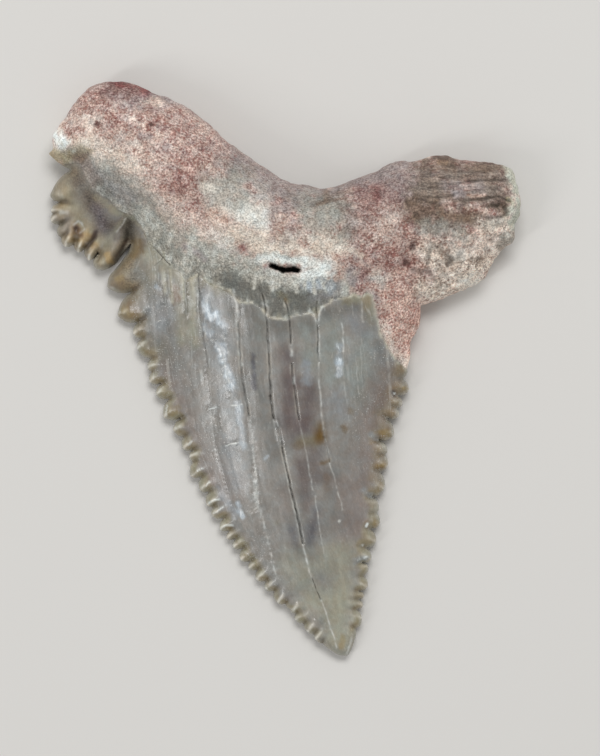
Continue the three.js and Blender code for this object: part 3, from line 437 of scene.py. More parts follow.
# Strokes on the band between the root and the enamel.
BAND_STROKES = [
    ("cream", 1.6, 0.7, [(-14.6, 16.4), (-12.6, 15.2), (-10.6, 13.6), (-8.6, 11.8), (-6.4, 10.4)]),
    ("band gray", 1.0, 0.8, [(-14.6, 15.4), (-12.8, 13.9), (-11.0, 12.5), (-9.2, 10.9),
                              (-7.0, 9.5), (-5.6, 8.6)]),
    ("band lilac", 0.8, 0.7, [(-14.8, 15.8), (-13.6, 14.6), (-12.2, 13.6), (-11.0, 12.2)]),
    ("green bone", 0.7, 0.5, [(-14.0, 15.9), (-12.0, 14.8), (-10.4, 13.4)]),
    ("band frost", 0.7, 0.9, [(-11.6, 12.6), (-10.6, 11.6), (-10.0, 10.8)]),
    ("band gray", 1.2, 0.95, [(-6.8, 8.3), (-4.4, 7.9), (-3.0, 7.2)]),
    ("band frost", 0.5, 0.7, [(-7.3, 10.6), (-6.4, 9.4), (-5.2, 8.6)]),
    ("lilac bone", 0.3, 0.6, [(-7.9, 9.7), (-7.4, 9.6), (-6.3, 8.7)]),
    ("band frost", 0.5, 0.6, [(-3.8, 7.9), (-1.6, 7.4), (0.6, 7.0)]),
    ("band dark", 0.9, 0.95, [(-4.6, 7.0), (-3.0, 6.3), (-1.0, 5.7), (1.4, 5.6), (3.4, 5.9)]),
    ("band lilac", 0.5, 0.6, [(2.4, 5.6), (4.2, 6.4), (3.6, 5.9)]),
    ("band dark", 0.6, 0.8, [(-2.0, 5.2), (0.0, 4.7), (1.8, 5.1)]),
    ("frost", 0.5, 1.0, [(1.9, 6.6), (2.8, 6.6), (3.5, 6.4)]),
    # Painted highlight on the band.
    ("gleam", 0.25, 0.4, [(2.0, 6.6), (3.0, 6.5)]),
    ("green bone", 0.6, 0.9, [(-9.6, 10.1), (-8.6, 9.2)]),
    ("olive", 0.3, 0.5, [(-0.4, 6.0), (0.3, 5.4)]),
    ("ochre", 0.14, 0.6, [(0.05, 5.6), (0.25, 5.2)]),
    ("cusp wax", 0.6, 0.9, [(-18.5, 17.1), (-17.0, 16.9), (-16.0, 17.1)]),
    ("rosy shell", 0.7, 0.8, [(-16.4, 16.7), (-15.6, 16.2), (-15.3, 15.2)]),
    ("rust", 0.4, 0.5, [(-16.8, 17.0), (-16.2, 16.8)]),
    ("band lilac", 0.5, 0.7, [(-12.5, 9.3), (-13.0, 8.6)]),
    ("band dark", 0.45, 0.6, [(-14.7, 14.6), (-14.1, 14.0)]),
    ("band chalk", 0.5, 0.45, [(-14.8, 16.5), (-14.2, 16.1)]),
    ("band chalk", 0.5, 0.45, [(-5.5, 9.3), (-5.0, 9.0)]),
    ("band chalk", 0.16, 0.9, [(0.9, 7.0), (0.95, 6.1)]),
    ("band chalk", 0.14, 0.8, [(1.6, 7.0), (1.65, 6.3)]),
    ("band chalk", 0.16, 0.9, [(2.3, 6.9), (2.4, 6.0)]),
    ("band chalk", 0.14, 0.8, [(3.0, 6.8), (3.3, 6.1)]),
    ("band chalk", 0.16, 0.8, [(-0.9, 7.2), (-0.95, 6.3)]),
    ("band chalk", 0.16, 0.8, [(-2.3, 7.4), (-2.4, 6.4)]),
    ("band chalk", 0.2, 0.8, [(-5.6, 9.2), (-5.7, 8.2)]),
    ("band chalk", 0.25, 0.8, [(-7.2, 10.3), (-7.6, 9.1)]),
    ("band chalk", 0.2, 0.8, [(-8.9, 10.9), (-9.2, 9.9)]),
    ("band chalk", 0.3, 0.8, [(-10.9, 12.8), (-11.3, 11.9)]),
]

# Strokes on the enamel of the crown and the cusplet.
ENAMEL_STROKES = [
    ("smoke", 1.8, 0.95, [(-10.4, 5.6), (-10.0, 2.5), (-9.2, 0.2)]),
    ("rosy shell", 0.8, 0.6, [(-9.9, 0.4), (-9.0, -1.6), (-8.2, -3.6), (-7.0, -6.4), (-5.8, -8.8)]),
    # Painted highlight: a bluish-white gleam low on the crown's left.
    ("gleam", 0.4, 0.5, [(-5.4, -9.6), (-4.6, -10.6), (-4.0, -11.6)]),
    ("olive mist", 1.2, 0.8, [(-11.8, 9.6), (-11.4, 7.8), (-11.8, 5.6), (-11.2, 4.0), (-10.4, 1.6)]),
    ("blue gray", 0.9, 0.6, [(-10.6, 4.6), (-9.8, 4.2), (-10.2, 3.2)]),
    ("rosy shell", 1.2, 0.55, [(-8.6, -1.2), (-7.0, -5.2), (-5.6, -8.0), (-4.4, -10.2)]),
    ("shell", 1.4, 0.8, [(-7.4, 1.0), (-6.4, -2.5), (-5.0, -6.5)]),
    ("tan", 0.45, 0.75, [(-8.4, 7.4), (-8.3, 5.0), (-8.2, 2.2)]),
    ("rust", 0.4, 0.75, [(-8.65, 6.4), (-8.5, 5.5)]),
    ("tan", 0.5, 0.9, [(-7.4, 7.3), (-7.4, 5.2), (-7.2, 2.0)]),
    ("olive", 0.3, 0.5, [(-7.5, 7.4), (-7.0, 7.5)]),
    ("tan", 0.5, 0.8, [(-9.0, 7.8), (-9.9, 8.8), (-10.6, 9.6)]),
    ("flake", 0.5, 0.7, [(-10.9, 9.0), (-10.5, 8.4), (-10.4, 7.6)]),
    ("flake", 0.25, 0.7, [(-9.65, 8.0), (-9.5, 6.2)]),
    ("flake", 0.16, 0.9, [(-8.1, 7.5), (-8.0, 5.6)]),
    ("flake", 0.14, 0.8, [(-9.1, 7.9), (-8.95, 5.4)]),
    ("flake", 0.16, 0.7, [(-7.35, 7.3), (-7.2, 6.0), (-7.15, 4.4)]),
    ("olive mist", 0.14, 0.8, [(-9.25, 7.6), (-9.15, 5.8)]),
    ("olive mist", 0.16, 0.8, [(-7.75, 6.9), (-7.7, 4.6)]),
    ("smoke", 0.5, 0.6, [(-12.2, 8.6), (-11.9, 7.4), (-12.2, 6.4)]),
    # Painted highlight: the blue gray, frost and gleam strokes from here down the left of the crown
    # paint its bluish-white sheen, over frosted enamel.
    ("blue gray", 0.9, 0.5, [(-6.0, 5.6), (-5.6, 3.6), (-5.2, 1.8)]),
    ("frost", 1.0, 0.3, [(-5.9, 5.6), (-5.6, 4.2), (-5.2, 2.4)]),
    ("olive", 0.4, 0.75, [(-6.4, 7.0), (-5.6, 6.6)]),
    ("olive", 0.45, 0.85, [(-5.2, 6.2), (-4.3, 6.0)]),
    ("smoke", 0.6, 0.95, [(-4.5, 5.6), (-4.3, 5.0), (-4.2, 4.4)]),
    ("gleam", 0.35, 0.9, [(-6.3, 4.9), (-5.9, 4.1), (-5.4, 4.4)]),
    ("gleam", 0.3, 0.6, [(-6.2, 3.4), (-5.9, 2.7)]),
    ("gleam", 0.3, 0.6, [(-5.2, 3.8), (-4.6, 3.4)]),
    ("gleam", 0.35, 0.85, [(-5.1, 1.8), (-4.8, 0.8), (-4.5, -0.2), (-4.2, -1.4)]),
    ("frost", 0.8, 0.4, [(-5.0, 0.6), (-4.6, -2.0), (-4.0, -5.0)]),
    ("gleam", 0.3, 0.45, [(-3.7, -2.8), (-3.5, -4.4), (-3.2, -6.2)]),
    ("frost", 0.5, 0.25, [(-3.3, -6.0), (-3.2, -8.2)]),
    ("blue gray", 0.8, 0.5, [(-4.6, -6.0), (-4.0, -9.0)]),
    ("smoke", 0.9, 0.85, [(-2.6, 4.2), (-2.5, 1.6), (-2.3, -1.4), (-2.0, -3.4)]),
    ("green gray", 0.5, 0.6, [(-2.0, 4.4), (-1.9, 2.6)]),
    ("lilac shell", 0.22, 0.8, [(-2.5, 1.2), (-2.4, -0.2), (-2.35, -1.4)]),
    ("shell", 0.6, 0.8, [(-0.6, 2.6), (-0.5, 0.0), (-0.4, -3.4)]),
    ("smoke", 0.5, 0.8, [(-0.9, 3.8), (0.0, 3.6), (-0.2, 3.0)]),
    ("smoke", 0.9, 0.7, [(-2.8, 4.8), (-1.6, 3.6), (0.4, 3.2), (2.2, 3.6)]),
    ("mauve", 0.8, 0.9, [(0.2, 1.0), (0.4, -1.6), (0.4, -4.4)]),
    ("mauve", 0.9, 0.9, [(1.9, -1.6), (1.9, -3.6), (1.6, -4.6)]),
    ("green gray", 0.6, 0.85, [(1.7, 3.4), (2.0, 1.6), (2.0, 0.4)]),
    ("smoke", 0.5, 0.7, [(1.5, 4.0), (2.1, 3.8)]),
    ("blue gray", 0.4, 0.75, [(1.7, 0.4), (1.8, -1.0)]),
    ("green gray", 1.0, 0.85, [(3.8, 3.4), (3.7, 1.2), (3.8, -0.8)]),
    ("smoke", 0.6, 0.9, [(3.4, 4.6), (4.6, 4.6), (5.6, 4.8)]),
    ("olive", 0.4, 0.75, [(4.8, 5.5), (5.6, 5.7)]),
    ("tan", 0.35, 0.7, [(5.4, 5.8), (5.9, 5.6)]),
    ("tan", 0.45, 0.8, [(6.6, 5.8), (6.7, 4.9), (6.9, 4.0)]),
    ("amber", 0.3, 0.5, [(6.5, 5.6), (6.6, 4.8)]),
    ("blue gray", 0.7, 0.7, [(5.5, 3.8), (6.2, 2.8), (7.0, 1.8)]),
    ("blue gray", 0.8, 0.6, [(7.4, 1.2), (8.2, 0.4)]),
    ("frost", 1.2, 0.2, [(5.6, 1.0), (5.4, -1.8)]),
    # Painted highlight: a short streak of sheen right of the middle of the crown.
    ("frost", 0.35, 0.8, [(4.4, 1.8), (4.3, 0.8), (4.4, 0.0)]),
    ("gleam", 0.25, 0.9, [(4.45, 0.7), (4.35, -0.4)]),
    ("green gray", 1.2, 0.9, [(6.2, 1.6), (6.0, -0.4), (6.2, -2.0)]),
    ("blue gray", 0.8, 0.5, [(4.0, -2.0), (4.4, -3.4)]),
    ("rosy shell", 1.2, 0.85, [(7.6, -1.6), (7.0, -4.6), (6.6, -7.4), (6.2, -10.0), (5.6, -12.6)]),
    ("smoke", 0.9, 0.7, [(0.2, -5.6), (-0.8, -7.0), (-1.2, -4.4)]),
    ("shell", 0.9, 0.8, [(-1.4, -8.2), (-1.0, -11.0), (-0.2, -13.4)]),
    ("rosy shell", 0.6, 0.55, [(0.0, -9.6), (0.2, -11.4)]),
    ("mauve", 0.6, 0.75, [(1.2, -7.4), (1.5, -9.2), (1.8, -11.0)]),
    ("smoke", 1.2, 0.7, [(3.4, -8.6), (4.2, -10.6), (3.9, -12.6)]),
    ("smoke", 0.8, 0.6, [(0.6, -9.4), (1.0, -11.6), (1.6, -13.6), (2.4, -15.6)]),
    ("mauve", 1.0, 0.6, [(1.0, -4.8), (2.4, -6.6), (2.6, -8.6)]),
    ("rosy shell", 1.0, 0.7, [(5.0, -9.6), (5.2, -13.6)]),
    ("olive", 0.5, 0.7, [(1.5, -5.7), (2.3, -5.7)]),
    ("ochre", 0.4, 0.25, [(1.2, -6.1), (2.0, -5.8), (2.6, -5.6)]),
    ("ochre", 0.48, 0.95, [(2.85, -4.5), (2.8, -5.3)]),
    ("ochre", 0.3, 0.55, [(4.6, -4.6), (4.9, -4.8)]),
    ("ochre", 0.24, 0.4, [(5.35, -3.2), (5.35, -3.5)]),
    ("ochre", 0.2, 0.6, [(2.9, -7.5), (3.5, -7.3)]),
    ("rust", 0.3, 0.3, [(3.3, -8.6), (3.3, -9.6)]),
    ("lilac shell", 0.5, 0.85, [(2.5, -11.4), (2.3, -12.6), (2.0, -13.8)]),
    ("lilac shell", 0.45, 0.65, [(0.6, -12.8), (0.9, -14.0), (1.1, -14.8)]),
    ("lilac shell", 0.4, 0.5, [(2.0, -17.2), (2.2, -18.0)]),
    ("lilac shell", 0.3, 0.5, [(3.0, -20.2)]),
    ("olive", 0.35, 0.35, [(-0.6, -12.2)]),
    ("tan", 1.0, 0.6, [(4.6, -15.0), (4.4, -16.8)]),
    ("green gray", 0.9, 0.6, [(0.6, -15.4), (1.2, -17.0), (3.2, -15.8)]),
    ("lemon shell", 1.5, 0.5, [(0.8, -15.6), (3.4, -15.6), (4.6, -15.2)]),
    ("lemon shell", 1.5, 0.95, [(2.2, -18.6), (4.6, -18.4), (4.2, -21.6)]),
    ("lilac shell", 0.6, 0.3, [(2.8, -16.6), (3.2, -17.4)]),
    ("honey", 0.2, 0.5, [(4.7, -21.4), (4.5, -22.3)]),
    ("chalk", 0.08, 0.7, [(5.45, -21.2), (5.3, -22.0), (5.0, -22.85)]),
    # Painted highlights: small gleams on the crown.
    ("gleam", 0.25, 0.8, [(-3.75, -10.7), (-3.6, -11.3), (-3.35, -11.8)]),
    ("gleam", 0.14, 0.5, [(-1.5, -7.1), (-1.3, -6.9)]),
    ("gleam", 0.2, 0.5, [(-10.2, 6.6), (-9.9, 6.4)]),
    ("chalk", 0.12, 0.8, [(4.4, -12.1)]),
    ("rust", 0.8, 0.35, [(8.0, 0.0), (8.8, -0.8), (8.2, -2.6)]),
    ("tip", 0.8, 0.9, [(6.9, -15.5), (6.2, -18.5), (5.7, -20.5)]),
    ("cusp wax", 1.6, 0.9, [(-17.4, 14.2), (-16.6, 12.0), (-14.8, 10.0), (-13.8, 9.2)]),
    ("tan", 0.35, 0.4, [(-15.8, 14.3), (-14.8, 13.4), (-13.9, 12.9), (-13.2, 12.3)]),
    ("cusp lilac", 0.9, 1.0, [(-16.7, 15.6), (-16.1, 14.4), (-15.5, 13.4), (-14.9, 12.4),
                              (-14.2, 11.6)]),
    ("cusp wax", 0.3, 0.4, [(-14.9, 13.6), (-14.0, 12.9), (-13.4, 12.3)]),
    ("finger wax", 0.5, 0.8, [(-17.2, 10.4), (-16.9, 11.2)]),
    ("finger wax", 0.4, 0.8, [(-16.3, 9.8), (-15.9, 10.8)]),
    ("finger wax", 0.35, 0.7, [(-15.5, 9.4), (-15.2, 10.0)]),
    ("finger wax", 0.5, 0.5, [(-18.0, 13.4), (-17.8, 12.4)]),
    ("finger wax", 0.35, 0.6, [(-14.1, 9.0), (-13.8, 8.7)]),
    ("tan", 0.7, 0.55, [(-14.4, 8.8), (-14.1, 9.8), (-14.0, 10.6)]),
    ("cusp lilac", 0.4, 0.6, [(-12.9, 10.6), (-13.6, 10.4)]),
    # The next two strokes paint the cleft's dark grain together with painted shade.
    ("cusp lilac", 0.9, 0.95, [(-12.9, 11.6), (-13.1, 10.4), (-13.4, 9.2)]),
    ("soot", 0.6, 1.0, [(-12.5, 11.6), (-12.45, 10.8), (-12.8, 10.0), (-13.3, 9.1)]),
    ("tan", 0.25, 0.8, [(-13.6, 12.7), (-12.9, 12.5), (-12.3, 12.3), (-11.6, 11.6)]),
    ("tan", 0.2, 0.6, [(-13.5, 11.1), (-13.2, 11.6), (-12.7, 11.9)]),
    ("rust", 0.5, 0.5, [(-13.8, 6.8), (-13.0, 6.8)]),
    ("rust", 0.4, 0.4, [(-13.0, 4.9), (-12.5, 4.6)]),
    ("ochre", 0.4, 0.6, [(-11.5, 10.1), (-11.6, 9.6), (-12.0, 9.1)]),
    ("rust", 0.3, 0.9, [(-16.7, 11.3), (-16.75, 11.0)]),
    ("dark pit", 0.14, 0.95, [(-16.7, 11.3), (-16.7, 11.0)]),
    # Painted shade in the fold between two lobes of the cusplet.
    ("dark pit", 0.24, 0.9, [(-15.9, 9.7), (-15.3, 10.4), (-15.1, 10.9)]),
    ("ochre", 0.26, 0.7, [(-16.85, 10.9), (-16.8, 10.5)]),
    # Painted highlight on a lobe of the cusplet.
    ("chalk", 0.2, 0.5, [(-17.9, 12.6), (-17.4, 12.5)]),
    ("cusp violet", 0.6, 0.8, [(-14.9, 12.6), (-14.6, 11.9), (-14.5, 11.2)]),
    # Painted shade deep in the cleft.
    ("dark pit", 0.2, 0.8, [(-12.7, 10.4), (-13.0, 9.7), (-13.4, 9.0)]),
    ("rosy shell", 0.6, 0.5, [(-17.4, 12.2), (-17.2, 11.2)]),
]

# Stains and painted glints of light on the serrations, laid over their wax, and three bright
# scratches on the crown.
MARGIN_STROKES = [
    ("honey", 0.26, 0.8, [(7.6, -7.75), (8.1, -7.6)]),
    ("honey", 0.26, 0.6, [(7.8, -5.1), (8.3, -5.2)]),
    ("honey", 0.18, 0.7, [(9.5, -1.5), (9.8, -1.55)]),
    ("honey", 0.2, 0.5, [(7.2, -12.5), (7.45, -12.3)]),
    ("honey", 0.3, 0.5, [(-12.8, 4.7), (-12.3, 4.5)]),
    ("honey", 0.3, 0.5, [(-13.4, 7.2), (-13.0, 7.4)]),
    ("honey", 0.3, 0.4, [(-8.9, -3.4), (-8.5, -3.0)]),
    ("ochre", 0.12, 0.5, [(7.5, -7.9), (7.8, -7.95)]),
    ("tip", 0.3, 0.7, [(8.0, -6.5), (8.1, -6.1)]),
    ("tip", 0.35, 0.6, [(7.3, -10.7), (7.45, -11.4)]),
    ("tip", 0.3, 0.7, [(-18.1, 14.1), (-17.9, 13.7)]),
    ("rust", 0.24, 0.8, [(-16.5, 11.1), (-16.3, 10.7)]),
    ("rust", 0.4, 0.4, [(-12.3, 5.2), (-11.9, 4.7)]),
    ("finger wax", 0.3, 0.8, [(-14.2, 9.1), (-13.8, 8.6)]),
    ("rust", 0.24, 0.7, [(6.6, -12.45)]),
    ("dark pit", 0.2, 0.9, [(8.65, -1.75), (8.8, -2.1)]),
    ("white chip and glint", 0.1, 0.8, [(8.8, -1.95)]),
    # Painted highlight: a white glint at the edge of a serration.
    ("white chip and glint", 0.11, 1.0, [(6.65, -12.4), (6.55, -12.55)]),
    # Painted glints: pale specks of light along the inner edge of the right serrations.
    ("frost", 0.3, 0.55, [(6.9, -5.2), (7.3, -5.5)]),
    ("frost", 0.3, 0.55, [(6.3, -9.7), (6.9, -10.1)]),
    ("frost", 0.3, 0.7, [(5.8, -15.35), (6.5, -15.1)]),
    ("white chip and glint", 0.08, 0.8, [(6.25, -14.1)]),
    ("white chip and glint", 0.08, 0.7, [(6.4, -15.1), (6.6, -15.0)]),
    # Painted highlights: a glint along the crest of each serration on the left, and one on the edge
    # of a large serration.
    ("white chip and glint", 0.06, 0.75, [(-6.95, -8.15), (-6.5, -7.9)]),
    ("white chip and glint", 0.06, 0.7, [(-6.3, -9.4), (-6.0, -9.0)]),
    ("white chip and glint", 0.07, 0.7, [(-6.1, -10.75), (-5.7, -10.5), (-5.2, -10.4)]),
    ("white chip and glint", 0.07, 0.7, [(-5.7, -11.55), (-5.4, -11.4), (-4.9, -11.0)]),
    ("white chip and glint", 0.06, 0.7, [(-5.0, -12.65), (-4.7, -12.5), (-4.1, -12.5)]),
    ("white chip and glint", 0.06, 0.5, [(-7.45, -5.8), (-7.7, -6.1)]),
    ("white chip and glint", 0.05, 0.6, [(-9.4, -2.9), (-9.5, -3.5), (-9.45, -3.9)]),
    ("white chip and glint", 0.035, 0.6, [(-4.6, -2.95), (-4.0, -2.88), (-3.35, -2.8)]),
    ("white chip and glint", 0.045, 0.8, [(-4.6, -6.1), (-4.3, -5.95), (-3.9, -5.9)]),
    ("white chip and glint", 0.04, 0.6, [(-5.9, -3.15), (-5.5, -3.05)]),
]

# Blotches scattered over the root, or down the band: finish, size and seed of their noise, strength.
BLOTCHES = [
    ("cream", 0.75, 41.7, 0.7), ("iron red", 0.75, 52.3, 0.7), ("lilac bone", 0.75, 63.9, 0.5),
    ("band moss", 1.0, 96.2, 0.7), ("band dark", 0.6, 85.6, 0.8), ("band frost", 0.75, 74.1, 0.7),
    ("band chalk", 0.42, 23.4, 0.95),
]
BAND_STRETCH = (1.3, 0.5)  # draws the blotches out down the band

# Small pits: x, y, radius, depth.
PITS = [
    (-14.85, 19.4, 0.26, 0.2), (-10.5, 19.35, 0.2, 0.14), (10.1, 9.7, 0.28, 0.2),
    (9.7, 8.4, 0.3, 0.16), (17.0, 12.8, 0.5, 0.2), (8.7, -1.85, 0.2, 0.16),
    (6.6, -12.45, 0.16, 0.08), (-16.7, 11.2, 0.2, 0.22), (13.5, 11.05, 0.12, 0.1),
]


# ---- Plane geometry ------------------------------------------------------------------------------

def segment_distance(points, start, end):
    """Distance of each point from a segment, and how far along the segment it is nearest."""
    start = np.asarray(start, float)
    along = np.asarray(end, float) - start
    length_squared = max(along @ along, 1e-12)
    share = np.clip((points - start) @ along / length_squared, 0.0, 1.0)
    offset = points - start - share[:, None] * along
    return np.hypot(offset[:, 0], offset[:, 1]), share * math.sqrt(length_squared)


def line_distance(points, line, reach=None):
    """Distance of each point from a polyline, and the length along it to the nearest place.

    With a reach, points clearly further away than that count as infinitely far.
    """
    line = [tuple(place) for place in line]
    nearest = np.full(len(points), np.inf)
    place = np.zeros(len(points))
    if reach is not None:
        near = (points >= np.min(line, 0) - reach).all(1) & (points <= np.max(line, 0) + reach).all(1)
        nearest[near], place[near] = line_distance(points[near], line)
        return nearest, place
    if len(line) == 1:
        line = line * 2
    travelled = 0.0
    for start, end in zip(line, line[1:]):
        distance, share = segment_distance(points, start, end)
        closer = distance < nearest
        nearest[closer] = distance[closer]
        place[closer] = travelled + share[closer]
        travelled += math.dist(start, end)
    return nearest, place


def outline_distance(points, outline):
    """Distance of each point from a closed outline of short, even sides."""
    tree = KDTree(len(outline))
    for i, (x, y) in enumerate(outline):
        tree.insert((x, y, 0.0), i)
    tree.balance()
    nearest = np.array([tree.find((x, y, 0.0))[1] for x, y in points])
    distance = np.full(len(points), np.inf)
    for shift in (-1, 0):
        start = outline[(nearest + shift) % len(outline)]
        along = outline[(nearest + shift + 1) % len(outline)] - start
        share = np.clip(((points - start) * along).sum(1) / (along ** 2).sum(1), 0.0, 1.0)
        offset = points - start - share[:, None] * along
        distance = np.minimum(distance, np.hypot(offset[:, 0], offset[:, 1]))
    return distance


def inside(points, outline):
    """Whether each point lies inside a closed outline."""
    result = np.zeros(len(points), bool)
    for (ax, ay), (bx, by) in zip(outline, np.roll(outline, -1, 0)):
        crossing = np.nonzero((ay > points[:, 1]) != (by > points[:, 1]))[0]
        at_x = ax + (points[crossing, 1] - ay) / (by - ay) * (bx - ax)
        result[crossing[points[crossing, 0] < at_x]] ^= True
    return result


def smoothstep(value, low, high):
    share = np.clip((value - low) / (high - low), 0.0, 1.0)
    return share * share * (3.0 - 2.0 * share)


def bell(distance, width):
    return np.exp(-((distance / width) ** 2))


def noise_field(points, size, seed, stretch=(1.0, 1.0)):
    """Smooth noise between about -1 and 1 at each point, with grains of the given size."""
    scaled = points * np.array(stretch) / size
    return np.array([noise.noise(Vector((x, y, seed))) for x, y in scaled])


def resample(line, step):
    """Points at even steps along a smooth curve through the line's points."""
    line = np.asarray(line, float)
    padded = np.vstack([2 * line[0] - line[1], line, 2 * line[-1] - line[-2]])
    points = []
    for a, b, c, d in zip(padded, padded[1:], padded[2:], padded[3:]):
        count = max(1, round(math.dist(b, c) / step))
        for share in np.arange(count) / count:
            points.append(catmull_rom(a, b, c, d, share))
    return np.array(points + [line[-1]])


def wobble(line):
    """The line at finer steps, straying a little to either side as a real crack does."""
    if len(line) < 2:
        return line
    fine = resample(line, WOBBLE_STEP)
    sway = np.column_stack([noise_field(fine, 0.5, seed) for seed in (21.3, 33.8)])
    return fine + WOBBLE * sway


def catmull_rom(a, b, c, d, share):
    return 0.5 * (2 * b + (c - a) * share + (2 * a - 5 * b + 4 * c - d) * share ** 2
                  + (3 * b - a - 3 * c + d) * share ** 3)


# ---- The CAD tooth -------------------------------------------------------------------------------

def read_cad_tooth():
    """Corners of the CAD tooth in millimetres and its triangles, with shared corners merged."""
    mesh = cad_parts["tooth"].data
    mesh.calc_loop_triangles()
    corners = np.array([vertex.co[:] for vertex in mesh.vertices]) / MM
    triangles = np.array([triangle.vertices[:] for triangle in mesh.loop_triangles])
    merged, places = np.unique(np.round(corners, 4), axis=0, return_inverse=True)
    return merged, places.reshape(-1)[triangles]


def split_sheets(corners, triangles):
    """The triangles of the lingual and the labial face, and the rim between them in order."""
    a, b, c = (corners[triangles[:, i]] for i in range(3))
    faces_up = np.cross(b - a, c - a)[:, 2] > 0
    sides = {}
    for is_up, triangle in zip(faces_up, triangles):
        for i in range(3):
            start, end = int(triangle[i]), int(triangle[(i + 1) % 3])
            sides[start, end] = is_up
    following = {start: end for (start, end), is_up in sides.items()
                 if is_up and not sides[end, start]}
    rim = [next(iter(following))]
    while following[rim[-1]] != rim[0]:
        rim.append(following[rim[-1]])
    return triangles[faces_up], triangles[~faces_up], np.array(rim)


def roll_over(distance, reach):
    """Quarter-ellipse profile: 0 at the rim, 1 at the given reach from it and further in."""
    return np.sqrt(1.0 - (1.0 - np.minimum(distance / reach, 1.0)) ** 2)


def rim_height(points, rim):
    """Height of the rim near each point, blended between the places around it."""
    total = np.zeros(len(points))
    weights = np.zeros(len(points))
    for x, y, height in rim:
        squared = (points[:, 0] - x) ** 2 + (points[:, 1] - y) ** 2
        weight = (squared + RIM_BLEND ** 2) ** -2
        total += weight * height
        weights += weight
    return total / weights


def spread_inwards(values, known, sides, rounds):
    """Fills the unknown values with the mean of their neighbours, over and over."""
    result = np.where(known, values, values[known].mean())
    for _ in range(rounds):
        result = np.where(known, values, neighbour_mean(result, sides))
    return result


def neighbour_mean(values, sides):
    starts, ends = sides
    total = np.bincount(starts, values[ends], len(values))
    count = np.bincount(starts, minlength=len(values))
    return np.where(count > 0, total / np.maximum(count, 1), values)


def triangle_sides(triangles):
    """Every side of every triangle, in both directions, as two arrays of corners."""
    starts = np.concatenate([triangles[:, i] for i in (0, 1, 2, 1, 2, 0)])
    ends = np.concatenate([triangles[:, i] for i in (1, 2, 0, 0, 1, 2)])
    return starts, ends


def unrolled_surface(corners, triangles, rim, reaches, is_lingual):
    """The face as it would be without its rounded margin, as a surface to look heights up on."""
    outline = corners[rim][:, :2]
    used = np.unique(triangles)
    places = corners[used][:, :2]
    distance = outline_distance(places, outline)
    base = rim_height(places, corners[rim])
    reach = np.interp(base, RIM_HEIGHTS, reaches)
    roll = roll_over(distance, reach)
    margin = base if is_lingual else base * (1.0 - roll)
    known = distance > 0.01
    if is_lingual:
        slit_distance, _ = line_distance(places, FORAMEN)
        known &= slit_distance > 0.5
    full = np.where(known, (corners[used][:, 2] - margin) / np.maximum(roll, 1e-6), 0.0)
    renumber = np.zeros(len(corners), int)
    renumber[used] = np.arange(len(used))
    local = renumber[triangles]
    full = spread_inwards(full, known, triangle_sides(local), FILL_ROUNDS)
    raised = [(x, y, z) for (x, y), z in zip(places, full)]
    return BVHTree.FromPolygons(raised, local.tolist())


def look_up(surface, points, sky=50.0):
    """Height of the surface at each point, or of the nearest part of it beyond its edge."""
    heights = np.zeros(len(points))
    down = Vector((0.0, 0.0, -1.0))
    for i, (x, y) in enumerate(points):
        place, _, _, _ = surface.ray_cast(Vector((x, y, sky)), down)
        if place is None:
            place, _, _, _ = surface.find_nearest(Vector((x, y, 3.0)))
        heights[i] = place.z
    return heights


# ---- Points of the fine skin ---------------------------------------------------------------------

def fine_outline(corners, rim):
    """The CAD outline as a smooth closed curve at fine steps, with the rim's height."""
    loop = corners[rim]
    closed = np.vstack([loop[-1], loop, loop[:2]])
    points = []
    for a, b, c, d in zip(closed, closed[1:], closed[2:], closed[3:]):
        count = max(1, round(math.dist(b[:2], c[:2]) / OUTLINE_STEP))
        for share in np.arange(count) / count:
            points.append(catmull_rom(a, b, c, d, share))
    points = np.array(points)
    low, high = loop.min(0), loop.max(0)
    along = np.roll(points, -1, 0)[:, :2] - np.roll(points, 1, 0)[:, :2]
    across = np.column_stack([-along[:, 1], along[:, 0]]) / np.hypot(*along.T)[:, None]
    chipped = np.maximum(noise_field(points[:, :2], 0.5, 27.4) + 0.2, 0)
    chipped *= RAGGED_EDGE * smoothstep(points[:, 2], 1.2, 1.5)
    points[:, :2] += across * chipped[:, None]
    return np.clip(points, low, high)


def hexagonal_grid(outline, step):
    low, high = outline.min(0), outline.max(0)
    row_height = step * math.sqrt(3) / 2
    rows = []
    for row in range(int((high[1] - low[1]) / row_height)):
        xs = np.arange(low[0] + (row % 2) * step / 2, high[0], step)
        rows.append(np.column_stack([xs, np.full(len(xs), low[1] + row * row_height)]))
    return np.concatenate(rows)


def offset_rows(line, offsets, closed):
    """Copies of a line moved sideways to its left by each offset."""
    if closed:
        along = np.roll(line, -1, 0) - np.roll(line, 1, 0)
    else:
        along = np.gradient(line, axis=0)
    along /= np.linalg.norm(along, axis=1)[:, None]
    across = np.column_stack([-along[:, 1], along[:, 0]])
    return [line + across * offset for offset in offsets]


def skin_points(outline, step, lines):
    """Points inside the outline: rows along its edge, rows along the given lines, and a grid."""
    kept = []
    for inset, row in zip(EDGE_INSETS, offset_rows(outline, EDGE_INSETS, closed=True)):
        kept.append(row[(outline_distance(row, outline) > inset * 0.9) & inside(row, outline)])
    grid = hexagonal_grid(outline, step)
    grid = grid[inside(grid, outline)]
    grid = grid[outline_distance(grid, outline) > EDGE_INSETS[-1] + step * 0.45]
    for line in lines:
        offsets = [side * offset for offset in LINE_OFFSETS for side in (1, -1)][1:]
        for row in offset_rows(resample(line, LINE_STEP), offsets, closed=False):
            distance = outline_distance(row, outline)
            kept.append(row[(distance > EDGE_INSETS[-1] * 1.5) & inside(row, outline)])
        distance, _ = line_distance(grid, line, reach=0.5)
        grid = grid[distance > LINE_OFFSETS[-1] + step * 0.4]
    return np.concatenate(kept + [grid])


